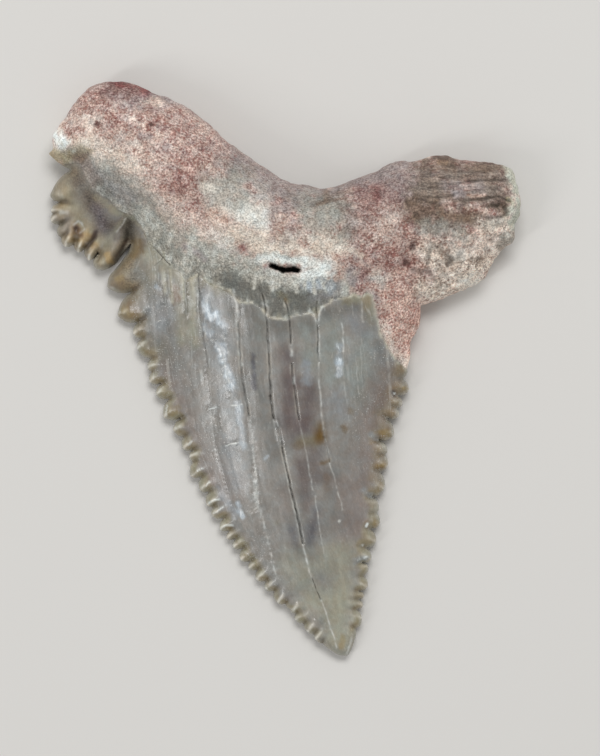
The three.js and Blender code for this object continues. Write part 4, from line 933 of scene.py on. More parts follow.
def triangulate(outline, inner):
    """Places and triangles inside the outline, and the place of each of the outline's points."""
    candidates = [Vector(point) for point in np.vstack([outline, inner])]
    border = list(range(len(outline)))
    places, _, triangles, origins, _, _ = delaunay_2d_cdt(candidates, [], [border], 1, 1e-5)
    rim_places = np.zeros(len(outline), int)
    for place, sources in enumerate(origins):
        for source in sources:
            if source < len(outline):
                rim_places[source] = place
    return np.array([place[:] for place in places]), np.array(triangles), rim_places


# ---- Relief --------------------------------------------------------------------------------------

def distance_into_enamel(points):
    """How far each point lies on the crown's side of the enamel's ragged upper edge."""
    distance, _ = line_distance(points, ENAMEL_EDGE)
    on_crown = inside(points, np.array(ENAMEL_EDGE + CROWN_SURROUND))
    ragged = 0.10 * noise_field(points, 0.45, 3.1) + 0.05 * noise_field(points, 0.2, 8.3)
    return np.where(on_crown, distance, -distance) + ragged


def notch_places(corners, rim):
    """Numbers of the rim's corners that lie in a notch between two serrations."""
    loop = corners[rim][:, :2]
    before, after = loop - np.roll(loop, 1, 0), np.roll(loop, -1, 0) - loop
    turn = np.arctan2(before[:, 0] * after[:, 1] - before[:, 1] * after[:, 0],
                      (before * after).sum(1))
    return np.nonzero((turn < NOTCH_TURN) & (corners[rim][:, 2] < 1.2))[0]


def inward(loop, corner, direction):
    """The unit direction, turned round if it leads out of the outline."""
    direction = direction / np.linalg.norm(direction)
    return direction if inside((loop[corner] + 0.1 * direction)[None], loop)[0] else -direction


def tapered(points, start, direction, shape):
    """Weight of a line that widens and fades along its length from the start."""
    end = start + direction * shape["length"]
    distance, place = segment_distance(points, start, end)
    return (1.0 - place / shape["length"]) * bell(distance, shape["width"] * (1.0 + place))


def notch_folds(points, rim_distance, corners, rim):
    """Share, from 0 to 1, of the folds that run inwards from the notches."""
    loop = corners[rim][:, :2]
    share = np.zeros(len(points))
    near = rim_distance < NOTCH_GROOVE["length"] * 1.2
    for i in notch_places(corners, rim):
        before, after = loop[i] - loop[i - 1], loop[(i + 1) % len(loop)] - loop[i]
        bisector = after / np.linalg.norm(after) - before / np.linalg.norm(before)
        direction = inward(loop, i, bisector)
        fold = tapered(points[near], loop[i], direction, NOTCH_GROOVE)
        fold *= 1.0 if direction[0] > 0 else WORN_FOLDS
        share[near] = np.maximum(share[near], fold)
    return share


def serrations(corners, rim):
    """Pairs of notches, as numbers of the rim's corners, with one serration between them."""
    loop = corners[rim][:, :2]
    notches = notch_places(corners, rim)
    sides = np.hypot(*np.diff(loop, axis=0).T)
    return [(first, last) for first, last in zip(notches, notches[1:])
            if sides[first:last].sum() <= LONGEST_SERRATION]


def places_in_serrations(points, rim_distance, corners, rim):
    """Where each point lies in its serration, from 0 at the notch nearer the root to 1."""
    loop = corners[rim][:, :2]
    place = np.full(len(points), 0.5)
    near = rim_distance < SERRATION_BAND * 1.2
    for pair in serrations(corners, rim):
        upper, lower = sorted(pair, key=lambda corner: -loop[corner][1])
        chord = loop[lower] - loop[upper]
        share = (points - loop[upper]) @ chord / (chord @ chord)
        away, _ = segment_distance(points, loop[upper], loop[lower])
        held = near & (share > 0.0) & (share < 1.0) & (away < SERRATION_BAND * 1.2)
        place[held] = share[held]
    return place


def tip_ridges(points, rim_distance, corners, rim):
    """Share, from 0 to 1, of the ridges that run inwards from the tips of the serrations."""
    loop = corners[rim][:, :2]
    share = np.zeros(len(points))
    near = rim_distance < TIP_RIDGE["length"] * 1.2
    for first, last in serrations(corners, rim):
        chord = loop[last] - loop[first]
        across = np.array([-chord[1], chord[0]]) / np.linalg.norm(chord)
        tip = first + np.argmax(np.abs((loop[first:last + 1] - loop[first]) @ across))
        direction = inward(loop, tip, across) + (0.0, RIDGE_SLANT)
        ridge = tapered(points[near], loop[tip], direction / np.linalg.norm(direction), TIP_RIDGE)
        ridge *= 1.0 if direction[0] > 0 else WORN_RIDGES
        share[near] = np.maximum(share[near], ridge)
    return share


def flow_position(points):
    """Place across the crown, on lines that run along it as its cracks do."""
    bend = np.interp(points[:, 1], (-23, -18, -12, -6, 0, 6), (6.2, 4.6, 2.9, 1.3, 0.6, 0.0))
    return points[:, 0] - bend


def crack_relief(points):
    depth = np.zeros(len(points))
    for _, groove, width, line in CRACKS:
        distance, _ = line_distance(points, line, reach=0.6)
        depth = np.maximum(depth, groove * bell(distance, width * 1.3))
    return depth


def panel_relief(points, into_enamel):
    """Low swell and slight tilt of the enamel panels between the long cracks."""
    across = flow_position(points)
    joints = np.array([-14.0, -6.9, -4.1, -1.9, 0.0, 2.3, 4.4, 6.3, 12.0])
    tilts = np.array([0.0, 0.03, -0.02, 0.03, -0.03, 0.02, -0.02, 0.02])
    panel = np.clip(np.searchsorted(joints, across) - 1, 0, len(tilts) - 1)
    share = (across - joints[panel]) / (joints[panel + 1] - joints[panel])
    swell = PANEL_CROWN * (1.0 - (2.0 * share - 1.0) ** 2) + tilts[panel] * (2 * share - 1)
    return swell * smoothstep(into_enamel, 0.2, 1.5) * smoothstep(-points[:, 1], -9, -4)


def root_grain(points):
    """Sandy grain of bare bone, with the crumble of the broken face and the eroded lobe's fibres."""
    grain = 0.035 * noise_field(points, 0.28, 1.7) + 0.05 * noise_field(points, 0.6, 5.2)
    lumps = 0.08 * noise_field(points, 1.5, 9.4)
    pores = 0.16 * np.maximum(noise_field(points, 0.45, 11.9) - 0.32, 0)
    crumble = 0.22 * noise_field(points, 1.3, 2.2) + 0.12 * noise_field(points, 0.5, 15.5)
    crumble += 0.07 * noise_field(points, 0.26, 17.1)
    furrows = 0.20 * noise_field(points, 1.0, 6.6, stretch=(0.25, 1.6))
    furrows += 0.12 * noise_field(points, 0.5, 4.4, stretch=(0.3, 1.3))
    return (grain + lumps - pores + broken_share(points) * crumble
            + fibre_share(points) * furrows)


def broken_share(points):
    """1 on the broken face below the shorter lobe, 0 elsewhere."""
    across = smoothstep(points[:, 0] + 0.5 * points[:, 1], 13.5, 16.0)
    return across * smoothstep(-points[:, 1], -11.6, -10.4)


def fibre_share(points):
    """1 on the eroded, fibrous end of the shorter lobe, 0 elsewhere."""
    across = smoothstep(points[:, 0] - 0.4 * (points[:, 1] - 13.0), 9.2, 11.0)
    return across * smoothstep(points[:, 1] - 0.1 * points[:, 0], 10.9, 11.9)


def band_relief(points):
    """Fine striations down the band between the root and the enamel."""
    return 0.05 * noise_field(points, 0.35, 7.7, stretch=(1.3, 0.4))


def enamel_relief(points):
    flow = np.column_stack([flow_position(points), points[:, 1]])
    streaks = 0.012 * noise_field(flow, 0.5, 2.9, stretch=(1.6, 0.12))
    return streaks + 0.03 * noise_field(points, 2.2, 6.1)


def fold_relief(points):
    depth = np.zeros(len(points))
    for fold, width, line in FOLDS:
        distance, place = line_distance(points, line, reach=1.5)
        length = sum(math.dist(start, end) for start, end in zip(line, line[1:]))
        depth += fold * bell(distance, width) * (1.0 - 0.8 * smoothstep(place, 0.4 * length, length))
    return depth


def pit_relief(points):
    depth = np.zeros(len(points))
    for x, y, radius, pit in PITS:
        distance = np.hypot(points[:, 0] - x, points[:, 1] - y)
        depth += pit * bell(distance, radius)
    return depth


def foramen_relief(points):
    distance, _ = line_distance(points, FORAMEN)
    ragged = 0.04 * noise_field(points, 0.4, 1.3)
    floor = 1.0 - smoothstep(distance + ragged, FORAMEN_HALF_HEIGHT * 0.6, FORAMEN_HALF_HEIGHT * 1.4)
    lips = 0.10 * bell(distance - 0.45, 0.25)
    return FORAMEN_DEPTH * floor - lips


# ---- Colours -------------------------------------------------------------------------------------

def linear(colour):
    """Linear values of an 8-bit sRGB colour."""
    share = np.asarray(colour, float) / 255.0
    return np.where(share <= 0.04045, share / 12.92, ((share + 0.055) / 1.055) ** 2.4)


class Paint:
    """Colour of the ground and of its flecks, and how thickly they lie, at every point."""

    def __init__(self, points, finish):
        self.points = points
        self.coarse = noise_field(points, 1.1, 12.5)
        self.fine = noise_field(points, 0.35, 14.2)
        ground, fleck, density = FINISHES[finish]
        self.ground = np.tile(linear(ground), (len(points), 1))
        self.fleck = np.tile(linear(fleck), (len(points), 1))
        self.density = np.full(len(points), density)

    def blend(self, finish, weight):
        ground, fleck, density = FINISHES[finish]
        self.ground += weight[:, None] * (linear(ground) - self.ground)
        self.fleck += weight[:, None] * (linear(fleck) - self.fleck)
        self.density += weight * (density - self.density)

    def strokes(self, table, where, soft_above=math.inf):
        """Every stroke of a table in turn, with soft edges where its radius is above the limit."""
        for finish, radius, strength, line in table:
            self.stroke(finish, radius, strength, line, where, radius > soft_above)

    def stroke(self, finish, radius, strength, line, where, soft):
        distance, _ = line_distance(self.points, line, reach=radius * 2.4 + 0.6)
        ragged = distance + radius * 0.5 * self.coarse
        if soft:
            weight = 1.0 - smoothstep(ragged, -0.3 * radius, radius * 1.8)
        else:
            ragged += min(radius, 0.6) * 0.7 * self.fine
            weight = 1.0 - smoothstep(ragged, radius * 0.2, radius * 1.5)
        self.blend(finish, strength * weight * where)

    def shade(self, factor):
        self.ground *= factor[:, None]
        self.fleck *= factor[:, None]

    def tone(self, name, weight):
        """Lays a plain mark over the ground and takes its flecks away."""
        self.ground += weight[:, None] * (linear(TONES[name]) - self.ground)
        self.density *= 1.0 - weight


def paint_skin(points, rim_distance, into_enamel, folds, hollow, places, is_lingual):
    """The paint of one face, how much of it is glossy enamel, and how much is the band."""
    enamel = smoothstep(into_enamel, -0.06, 0.06)
    paint = Paint(points, "sandy pink")
    reach = BAND_WIDTH + BAND_BULGE * bell(points[:, 0] - BAND_BULGE_X, BAND_BULGE_REACH)
    band = (1.0 - enamel) * smoothstep(into_enamel + 0.3 * paint.coarse, -reach, 0.9 - reach)
    band *= 1.0 - smoothstep(points[:, 0], 4.8, 5.8)
    paint.blend("band gray", band)
    for finish, size, seed, strength in BLOTCHES:
        where, stretch = (band, BAND_STRETCH) if "band" in finish else (1.0 - band, (1.0, 1.0))
        blotch = smoothstep(noise_field(points, size, seed, stretch), 0.05, 0.45)
        paint.blend(finish, strength * blotch * where)
    paint.strokes(ROOT_STROKES + BAND_STROKES, 1.0 - enamel)
    paint.blend("shell", enamel)
    paint.strokes(ENAMEL_STROKES, enamel, soft_above=SOFT_RADIUS)
    paint_serrations(paint, rim_distance, enamel, folds, places)
    paint.strokes(MARGIN_STROKES, enamel)
    # Painted shade on the enamel just inside its broken upper edge, on the crown from x = -5 mm
    # rightwards.
    shade_under_enamel_edge = bell(into_enamel - 0.6, 0.45) * smoothstep(points[:, 0], -5.0, -3.5)
    paint.tone("under enamel edge", 0.45 * shade_under_enamel_edge * smoothstep(paint.coarse, -0.8, 0.3))
    lip = bell(into_enamel - 0.02, 0.11) * smoothstep(points[:, 0], -13, -10)
    paint.tone("enamel edge", 0.8 * lip * smoothstep(paint.fine, -0.5, 0.3))
    # Painted light on the root's rounded rim: the bone is painted up to a quarter lighter within 0.9
    # mm of the outline.
    edge = (1.0 - enamel) * (1.0 - smoothstep(rim_distance, 0.0, 0.9))
    paint.shade(1.0 + 0.25 * edge)
    # Painted shade and highlight: hollows of the relief are painted darker and crests lighter. This
    # fades out at the rim and near the foramen, and is weaker on the enamel and the band.
    foramen_distance, _ = line_distance(points, FORAMEN)
    depth = np.tanh(hollow / 0.10) * smoothstep(rim_distance, 0.25, 0.7)
    depth *= smoothstep(foramen_distance, 0.3, 1.0)
    paint.shade(1.0 - depth * (0.6 - 0.25 * enamel) * (1.0 - 0.8 * band))
    if is_lingual:
        paint_lines(paint, enamel)
    for line in WORN_ENAMEL:
        distance, _ = line_distance(points, line)
        enamel = enamel * (1.0 - 0.85 * bell(distance + 0.4 * paint.coarse, WORN_WIDTH))
    glassy = band * bell(points[:, 0], GLASSY_REACH) * smoothstep(into_enamel, -2.0, -0.9)
    enamel = np.maximum(enamel, 0.6 * glassy)
    return paint, enamel, band


def paint_serrations(paint, rim_distance, enamel, folds, places):
    """Wax-coloured margin of the crown: its notches and the lower side of each serration are amber
    darkened with painted shade, and each ridge has a painted glint.
    """
    low = smoothstep(-paint.points[:, 1] - 0.7 * paint.points[:, 0], 2.0, 9.0)
    reach = SERRATION_BAND * (1.0 - 0.4 * low)
    margin = enamel * (1.0 - smoothstep(rim_distance + 0.4 * paint.coarse, 0.2, reach))
    cleft_distance, _ = line_distance(paint.points, CLEFT)
    margin *= smoothstep(paint.points[:, 1], -22.0, -20.4) * (1.0 - 0.8 * bell(cleft_distance, 0.7))
    near_lower_notch = smoothstep(places, 0.15, 0.65) * smoothstep(paint.points[:, 0], -14.5, -12.5)
    paint.blend("amber", 0.85 * margin * (0.45 + 0.55 * near_lower_notch) * (1.0 - 0.3 * low))
    paint.blend("khaki", 0.8 * margin * low)
    paint.blend("honey", 0.5 * margin * near_lower_notch * smoothstep(paint.coarse, -0.2, 0.5))
    # Amber darkened with painted shade on the lower side of each serration.
    hollows = smoothstep(rim_distance, 0.1, 0.5) * (1.0 - smoothstep(rim_distance, 0.7, 1.3))
    paint.tone("serration hollow", 0.4 * margin * hollows * near_lower_notch * (1.0 - 0.4 * low))
    tips = enamel * (1.0 - smoothstep(rim_distance + 0.06 * paint.fine, 0.05, 0.32))
    paint.blend("tip", 0.65 * tips)
    # Amber brown with painted shade down the fold at each notch.
    fold = np.clip(folds, 0, 1)
    at_notch = 1.0 - smoothstep(rim_distance, 0.3, 0.7)
    paint.tone("notch", 0.75 * fold * at_notch)
    # Dark grain with painted shade down the cleft between the cusplet and the crown.
    cleft_grain_and_shade = bell(cleft_distance, 0.35) * smoothstep(paint.fine, -0.8, 0.2)
    paint.tone("cleft", 0.6 * cleft_grain_and_shade * enamel)
    paint.tone("notch glint", 0.8 * fold * (1.0 - at_notch) * smoothstep(paint.fine, -0.5, 0.3))
    paint.tone("ridge glint", np.clip(-1.2 * folds, 0, 1) * smoothstep(paint.fine, -0.7, 0.2))


def paint_lines(paint, enamel):
    """Mineral veins and open cracks, broken up along their length, then painted shade along the folds
    and in the foramen.
    """
    for brightness, width, line in VEINS:
        distance, _ = line_distance(paint.points, line, reach=0.8)
        broken = 0.60 + 0.9 * paint.fine
        paint.tone("vein", np.clip(brightness * broken, 0, 1) * bell(distance, width))
    for darkness, _, width, line in CRACKS:
        distance, _ = line_distance(paint.points, line, reach=0.6)
        lip = 0.45 * darkness * bell(distance - 2.2 * width, width)
        paint.tone("crack lip", lip * smoothstep(paint.coarse, -0.5, 0.5))
        broken = np.clip(0.7 + 2.0 * paint.fine, 0.1, 1)
        narrow = width * (0.55 + 0.5 * np.abs(paint.coarse))
        paint.tone("crack", np.clip(darkness * broken, 0, 1) * bell(distance, narrow))
    # Painted shade along the folds, darker the deeper they are and weaker on the enamel.
    for depth, width, line in FOLDS:
        distance, _ = line_distance(paint.points, line, reach=1.0)
        darkness = np.clip(FOLD_SHADE * depth, 0, 0.85) * smoothstep(paint.fine, -0.8, 0.2)
        darkness *= 1.0 - 0.7 * enamel
        paint.tone("fold", darkness * bell(distance, 0.8 * width))
    # Painted shade: the foramen's hole is painted near black.
    distance, _ = line_distance(paint.points, FORAMEN)
    paint.tone("foramen", 1.0 - smoothstep(distance + 0.22 * paint.fine, 0.12, 0.24))


# ---- The tooth -----------------------------------------------------------------------------------

def raise_lingual(points, rim_distance, base, surface, sides, corners, rim):
    """Heights of the upper skin, and the fields that its paint follows."""
    full = look_up(surface, points)
    for _ in range(SMOOTHING_ROUNDS):
        full = 0.5 * full + 0.5 * neighbour_mean(full, sides)
    into_enamel = distance_into_enamel(points)
    enamel = smoothstep(into_enamel, -0.08, 0.08)
    folds = notch_folds(points, rim_distance, corners, rim) * enamel
    ridges = tip_ridges(points, rim_distance, corners, rim) * enamel
    lip = np.sign(into_enamel) * ENAMEL_LIP * np.exp(-np.abs(into_enamel) / ENAMEL_LIP_WIDTH)
    lip *= smoothstep(np.abs(into_enamel), 0.0, 0.06) * smoothstep(points[:, 0], -11, -6)
    bone = root_grain(points)
    band = band_relief(points) * smoothstep(into_enamel, -3.0, -0.8)
    bone = bone * (1.0 - 0.5 * smoothstep(into_enamel, -3.0, -0.8)) + band
    detail = (1.0 - enamel) * bone + enamel * enamel_relief(points)
    detail += panel_relief(points, into_enamel) * enamel
    full = full + lip - pit_relief(points) - foramen_relief(points)
    reach = np.interp(base, RIM_HEIGHTS, LINGUAL_ROLLS)
    heights = base + np.maximum(full, 0.12) * roll_over(rim_distance, reach)
    edge_fade = smoothstep(rim_distance, 0.0, 0.35)
    detail += TIP_RIDGE["height"] * ridges - NOTCH_GROOVE["depth"] * folds
    detail -= crack_relief(points) + fold_relief(points)
    heights = np.maximum(heights + detail * edge_fade, base * (1.0 - 0.4 * edge_fade))
    hollow = heights
    for _ in range(HOLLOW_ROUNDS):
        hollow = neighbour_mean(hollow, sides)
    places = places_in_serrations(points, rim_distance, corners, rim)
    return heights, into_enamel, folds - ridges, hollow - heights, places


def raise_labial(points, rim_distance, base, surface):
    full = look_up(surface, points)
    reach = np.interp(base, RIM_HEIGHTS, LABIAL_ROLLS)
    roll = roll_over(rim_distance, reach)
    into_enamel = distance_into_enamel(points)
    bone = 0.06 * np.maximum(noise_field(points, 0.8, 3.3), 0) * (into_enamel < 0)
    heights = base * (1.0 - roll) + (full + bone) * roll
    level = np.zeros(len(points))
    return heights, into_enamel, level, level, level + 0.5


Sheet = namedtuple("Sheet", "points heights faces rim_places paint enamel band")


def make_sheet(corners, triangles, rim, outline, is_lingual):
    """One face of the tooth: its points and triangles, their heights and their paint."""
    plan = outline[:, :2]
    reaches = LINGUAL_ROLLS if is_lingual else LABIAL_ROLLS
    surface = unrolled_surface(corners, triangles, rim, reaches, is_lingual)
    step = LINGUAL_STEP if is_lingual else LABIAL_STEP
    lines = [line for *_, line in CRACKS + VEINS] + [FORAMEN] if is_lingual else []
    points, faces, rim_places = triangulate(plan, skin_points(plan, step, lines))
    distance = outline_distance(points, plan)
    base = rim_height(points, outline)
    base[rim_places] = outline[:, 2]
    if is_lingual:
        sides = triangle_sides(faces)
        fields = raise_lingual(points, distance, base, surface, sides, corners, rim)
    else:
        fields = raise_labial(points, distance, base, surface)
    heights, *paint_fields = fields
    heights[rim_places] = outline[:, 2]
    paint, enamel, band = paint_skin(points, distance, *paint_fields, is_lingual)
    return Sheet(points, heights, faces, rim_places, paint, enamel, band)


def make_tooth():
    CRACKS[:] = [(*style, wobble(line)) for *style, line in CRACKS]
    VEINS[:] = [(*style, wobble(line)) for *style, line in VEINS]
    corners, triangles = read_cad_tooth()
    lingual, labial, rim = split_sheets(corners, triangles)
    outline = fine_outline(corners, rim)
    upper = make_sheet(corners, lingual, rim, outline, is_lingual=True)
    lower = make_sheet(corners, labial, rim, outline, is_lingual=False)
    return join_sheets(upper, lower, corners)


def join_sheets(upper, lower, corners):
    """One closed mesh from the two skins, which share the points of their rim."""
    renumber = np.full(len(lower.points), -1)
    renumber[lower.rim_places] = upper.rim_places
    own = np.nonzero(renumber < 0)[0]
    renumber[own] = len(upper.points) + np.arange(len(own))

    def both(of_upper, of_lower):
        return np.concatenate([of_upper, of_lower[own]])

    plan = both(upper.points, lower.points)
    places = np.column_stack([plan, both(upper.heights, lower.heights)])
    places = np.clip(places, corners.min(0), corners.max(0))
    faces = np.concatenate([upper.faces, renumber[lower.faces][:, ::-1]])
    mesh = bpy.data.meshes.new("tooth_skin")
    mesh.from_pydata((places * MM).tolist(), [], faces.tolist())
    mesh.polygons.foreach_set("use_smooth", np.ones(len(faces), bool))
    add_colours(mesh, "ground", both(upper.paint.ground, lower.paint.ground))
    add_colours(mesh, "fleck", both(upper.paint.fleck, lower.paint.fleck))
    add_values(mesh, "fleck_cover", both(upper.paint.density, lower.paint.density))
    add_values(mesh, "enamel", both(upper.enamel, lower.enamel))
    add_values(mesh, "band", both(upper.band, lower.band))
    add_values(mesh, "fibre", fibre_share(plan))
    flow = np.column_stack([flow_position(plan), plan[:, 1], np.zeros(len(plan))])
    attribute = mesh.attributes.new("flow", "FLOAT_VECTOR", "POINT")
    attribute.data.foreach_set("vector", flow.ravel())
    mesh.update()
    piece = bpy.data.objects.new("tooth_skin", mesh)
    bpy.context.scene.collection.objects.link(piece)
    return piece


def add_colours(mesh, name, values):
    attribute = mesh.attributes.new(name, "FLOAT_COLOR", "POINT")
    with_alpha = np.column_stack([values, np.ones(len(values))])
    attribute.data.foreach_set("color", with_alpha.ravel())


def add_values(mesh, name, values):
    attribute = mesh.attributes.new(name, "FLOAT", "POINT")
    attribute.data.foreach_set("value", values)


# ---- Materials -----------------------------------------------------------------------------------

def opaque(colour):
    """The four values of a colour socket."""
    return tuple(linear(colour)) + (1.0,)


class Nodes:
    """Short ways to add and link the nodes of one material."""

    def __init__(self, name):
        self.material = bpy.data.materials.new(name)
        self.material.use_nodes = True
        self.tree = self.material.node_tree
        self.shader = self.tree.nodes["Principled BSDF"]

    def link(self, value, socket):
        if isinstance(value, (int, float, tuple)):
            socket.default_value = value
        else:
            self.tree.links.new(value, socket)

    def attribute(self, name, output):
        node = self.tree.nodes.new("ShaderNodeAttribute")
        node.attribute_name = name
        return node.outputs[output]

    def noise(self, vector, grain, detail=2.0, roughness=0.5, distortion=0.0):
        """Noise about 0.5, whose vector is in metres and whose grain is in millimetres."""
        node = self.tree.nodes.new("ShaderNodeTexNoise")
        self.link(vector, node.inputs["Vector"])
        node.inputs["Scale"].default_value = 1.0 / (grain * MM)
        node.inputs["Detail"].default_value = detail
        node.inputs["Roughness"].default_value = roughness
        node.inputs["Distortion"].default_value = distortion
        return node.outputs["Fac"]

    def along_x(self, vector):
        node = self.tree.nodes.new("ShaderNodeSeparateXYZ")
        self.link(vector, node.inputs[0])
        return node.outputs["X"]

    def scale(self, vector, factors):
        node = self.tree.nodes.new("ShaderNodeVectorMath")
        node.operation = "MULTIPLY"
        self.link(vector, node.inputs[0])
        node.inputs[1].default_value = factors
        return node.outputs[0]

    def math(self, operation, first, second=0.0, clamp=False):
        node = self.tree.nodes.new("ShaderNodeMath")
        node.operation = operation
        node.use_clamp = clamp
        self.link(first, node.inputs[0])
        self.link(second, node.inputs[1])
        return node.outputs[0]

    def map_range(self, value, from_min, from_max, to_min=0.0, to_max=1.0):
        node = self.tree.nodes.new("ShaderNodeMapRange")
        node.interpolation_type = "SMOOTHSTEP"
        for socket, number in zip(node.inputs, (value, from_min, from_max, to_min, to_max)):
            self.link(number, socket)
        return node.outputs[0]

    def mix(self, share, first, second, kind="RGBA", blend="MIX"):
        node = self.tree.nodes.new("ShaderNodeMix")
        node.data_type = kind
        if kind == "RGBA":
            node.blend_type = blend
        enabled = [socket for socket in node.inputs if socket.enabled]
        for value, socket in zip((share, first, second), enabled):
            self.link(value, socket)
        return next(socket for socket in node.outputs if socket.enabled)

    def mix_values(self, share, first, second):
        return self.mix(share, first, second, kind="FLOAT")

    def multiply(self, first, *others):
        for other in others:
            first = self.math("MULTIPLY", first, other)
        return first

    def multiply_colour(self, colour, factor):
        return self.mix(1.0, colour, factor, blend="MULTIPLY")

    def bump(self, height, distance, strength):
        node = self.tree.nodes.new("ShaderNodeBump")
        self.link(height, node.inputs["Height"])
        node.inputs["Distance"].default_value = distance * MM
        node.inputs["Strength"].default_value = strength
        return node.outputs["Normal"]


class ToothMaterial(Nodes):
    """Sandy bone and streaked, dusty enamel, over the paint kept on the skin's points."""

    def __init__(self):
        super().__init__("fossil tooth")
        self.position = self.tree.nodes.new("ShaderNodeTexCoord").outputs["Object"]
        self.flow_mm = self.attribute("flow", "Vector")
        self.flow = self.scale(self.flow_mm, (MM, 0.35 * MM, MM))
        self.enamel = self.attribute("enamel", "Fac")
        self.sand = self.make_sand()
        self.streak = self.noise(self.flow, 0.45, detail=3.0, roughness=0.6, distortion=0.4)
        self.on_crown = self.map_range(self.along_x(self.position), -12.6 * MM, -12.2 * MM)
        from_middle = self.math("ABSOLUTE", self.along_x(self.flow_mm))
        self.on_side = self.map_range(from_middle, 3.0, 5.5, 0.12, 1.0)

        colour = self.add_grit(self.make_flecks())
        colour = self.add_hairlines(self.add_dust(colour))
        colour = self.add_mottle(colour)
        self.link(colour, self.shader.inputs["Base Color"])
        self.link(self.make_roughness(), self.shader.inputs["Roughness"])
        self.link(self.make_relief(), self.shader.inputs["Normal"])

    def make_sand(self):
        """Grain of the bone: specks, drawn out down the band and along the eroded lobe."""
        speck = self.noise(self.position, 0.2, detail=3.0, roughness=0.8)
        down_band = self.scale(self.position, (1.0, 0.35, 1.0))
        stripe = self.noise(down_band, 0.22, detail=3.0, roughness=0.7)
        along_lobe = self.scale(self.position, (0.22, 1.0, 1.0))
        thread = self.noise(along_lobe, 0.22, detail=3.0, roughness=0.7)
        sand = self.mix_values(self.attribute("band", "Fac"), speck, stripe)
        sand = self.mix_values(self.multiply(self.attribute("fibre", "Fac"), 0.7), sand, thread)
        return self.mix_values(0.25, sand, self.noise(self.position, 0.8, detail=2.0))

    def make_flecks(self):
        """The painted ground with its flecks, as thick as the paint says."""
        frost = self.noise(self.flow, 0.26, detail=4.0, roughness=0.75, distortion=0.3)
        grains = self.mix_values(self.enamel, self.sand, frost)
        cover = self.map_range(self.attribute("fleck_cover", "Fac"), 0.0, 1.0, 0.70, 0.30)
        flecks = self.map_range(self.math("SUBTRACT", grains, cover), -0.11, 0.12)
        dull = self.map_range(self.noise(self.position, 0.5, detail=1.0), 0.35, 0.65)
        dull = self.multiply(dull, 0.25, self.math("SUBTRACT", 1.0, self.enamel))
        fleck = self.mix(dull, self.attribute("fleck", "Color"), opaque(DULL_FLECK))
        return self.mix(flecks, self.attribute("ground", "Color"), fleck)

    def add_grit(self, colour):
        """Light and dark grains of bone, and faint cloud in the enamel."""
        grit = self.map_range(self.noise(self.position, 0.14, detail=1.0), 0.25, 0.75, 0.68, 1.36)
        dots = self.map_range(self.noise(self.position, 0.21, detail=1.0), 0.66, 0.76, 1.0, 0.62)
        along_flow = self.scale(self.flow_mm, (MM, 0.6 * MM, MM))
        cloud = self.noise(along_flow, 0.15, detail=2.0, roughness=0.7)
        cloud = self.map_range(cloud, 0.3, 0.7, 0.93, 1.07)
        return self.multiply_colour(
            colour, self.mix_values(self.enamel, self.multiply(grit, dots), cloud))

    def add_dust(self, colour):
        """Pale dust in patches on the sides of the crown."""
        dust = self.map_range(self.noise(self.position, 0.11, detail=1.0), 0.64, 0.72, 0.0, 0.85)
        patches = self.map_range(self.noise(self.position, 3.5, detail=1.0), 0.40, 0.65, 0.2, 1.0)
        patches = self.multiply(patches, self.on_side)
        dust = self.multiply(dust, patches, self.on_crown, self.enamel)
        return self.mix(dust, colour, opaque(DUST))

    def add_hairlines(self, colour):
        """Hair-fine pale lines along the crown, where it is scuffed."""
        along = self.noise(self.scale(self.flow_mm, (MM, 0.07 * MM, MM)), 1.1, detail=1.0)
        hairline = self.math("ABSOLUTE", self.math("SUBTRACT", along, 0.5))
        hairline = self.map_range(hairline, 0.0, 0.012, 0.32, 0.0)
        scuffed = self.map_range(self.noise(self.position, 1.8, detail=3.0), 0.48, 0.60)
        share = self.multiply(self.on_crown, self.on_side)
        return self.mix(self.multiply(hairline, scuffed, self.enamel, share), colour,
                        opaque(HAIRLINE))

    def add_mottle(self, colour):
        """Slow changes of brightness, and of warmth."""
        streaks = self.map_range(self.streak, 0.3, 0.7, 0.93, 1.07)
        shade = self.mix_values(self.enamel, 1.0, streaks)
        mottle = self.noise(self.position, 1.4, detail=3.0)
        shade = self.multiply(shade, self.map_range(mottle, 0.3, 0.7, 0.92, 1.08))
        colour = self.multiply_colour(colour, shade)
        warmth = self.map_range(self.noise(self.position, 0.7, detail=3.0), 0.35, 0.65)
        warm, cool = (1.03, 0.995, 0.965, 1.0), (0.975, 1.005, 1.02, 1.0)
        return self.multiply_colour(colour, self.mix(warmth, warm, cool))

    def make_roughness(self):
        """Matt bone, glossy crown and a duller cusplet."""
        polish = self.map_range(self.streak, 0.3, 0.7, 0.17, 0.32)
        return self.mix_values(self.enamel, 0.82, self.mix_values(self.on_crown, 0.46, polish))

    def make_relief(self):
        fine_grain = self.noise(self.position, 0.12, detail=2.0)
        height = self.mix_values(self.enamel, self.math("ADD", self.sand, fine_grain),
                                 self.multiply(self.streak, 0.2))
        return self.bump(height, distance=0.09, strength=0.9)


def make_floor_material():
    nodes = Nodes("studio floor")
    nodes.shader.inputs["Base Color"].default_value = opaque(STUDIO_FLOOR)
    nodes.shader.inputs["Roughness"].default_value = 0.9
    return nodes.material


# ---- Studio --------------------------------------------------------------------------------------

CAMERA_CENTRE = (1.24, -0.7)
VIEW_HEIGHT = 60.48  # of the tooth's plane, from the top to the bottom of the picture
CAMERA_LENS = 200.0
SENSOR_HEIGHT = 36.0
FOCAL_PLANE = 2.0  # height on the tooth at which the picture has that scale

# In metres.
FLOOR_REACH = 0.6

SKY_STRENGTH = 0.40


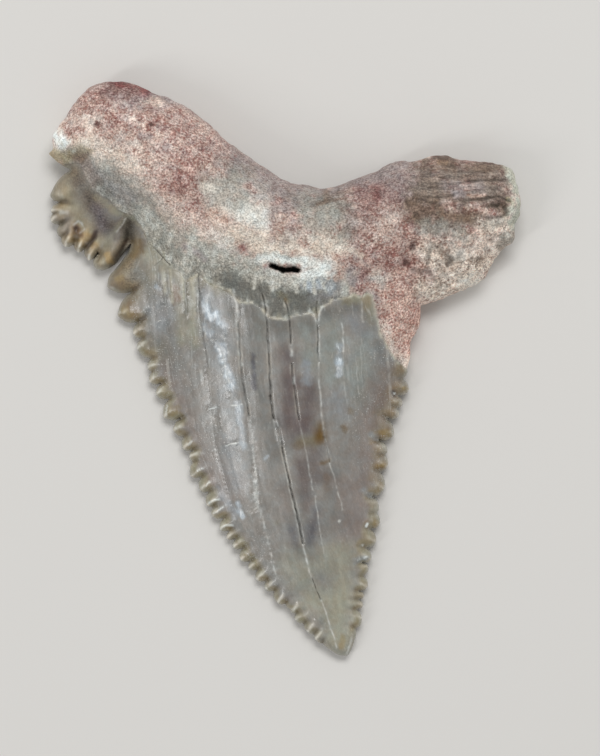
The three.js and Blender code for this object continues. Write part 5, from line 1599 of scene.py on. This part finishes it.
def make_camera():
    camera = bpy.data.cameras.new("camera")
    camera.type = "PERSP"
    camera.lens = CAMERA_LENS
    camera.sensor_fit = "VERTICAL"
    camera.sensor_height = SENSOR_HEIGHT
    distance = VIEW_HEIGHT * CAMERA_LENS / SENSOR_HEIGHT
    rig = bpy.data.objects.new("camera", camera)
    x, y = CAMERA_CENTRE
    rig.location = (x * MM, y * MM, (distance + FOCAL_PLANE) * MM)
    bpy.context.scene.collection.objects.link(rig)
    bpy.context.scene.camera = rig


def make_light(name, direction, distance, size, share):
    """Area light, placed in metres, that gives a share of full brightness on a level surface."""
    light = bpy.data.lights.new(name, "AREA")
    light.shape = "RECTANGLE"
    light.size, light.size_y = size
    towards = Vector(direction).normalized()
    light.energy = share * math.pi ** 2 * distance ** 2 / towards.z
    lamp = bpy.data.objects.new(name, light)
    lamp.location = towards * distance
    lamp.rotation_euler = towards.to_track_quat("Z", "Y").to_euler()
    bpy.context.scene.collection.objects.link(lamp)


def make_studio():
    world = bpy.data.worlds.new("studio")
    world.use_nodes = True
    background = world.node_tree.nodes["Background"]
    background.inputs["Color"].default_value = (1.0, 1.0, 1.0, 1.0)
    background.inputs["Strength"].default_value = SKY_STRENGTH
    bpy.context.scene.world = world
    bpy.context.scene.view_settings.view_transform = "Standard"
    make_light("window", (0.1, 0.50, 0.86), distance=0.6, size=(0.35, 0.2), share=0.42)
    make_light("softbox", (-0.63, -0.35, 0.69), distance=0.5, size=(0.045, 0.22), share=0.10)
    floor_mesh = bpy.data.meshes.new("floor")
    corners = [(x * FLOOR_REACH, y * FLOOR_REACH, 0) for x, y in ((-1, -1), (1, -1), (1, 1), (-1, 1))]
    floor_mesh.from_pydata(corners, [], [(0, 1, 2, 3)])
    floor_mesh.materials.append(make_floor_material())
    floor = bpy.data.objects.new("floor", floor_mesh)
    bpy.context.scene.collection.objects.link(floor)


# ---- Scene ---------------------------------------------------------------------------------------

tooth = make_tooth()
tooth.data.materials.append(ToothMaterial().material)
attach(tooth, "root")
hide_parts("tooth")
make_camera()
make_studio()
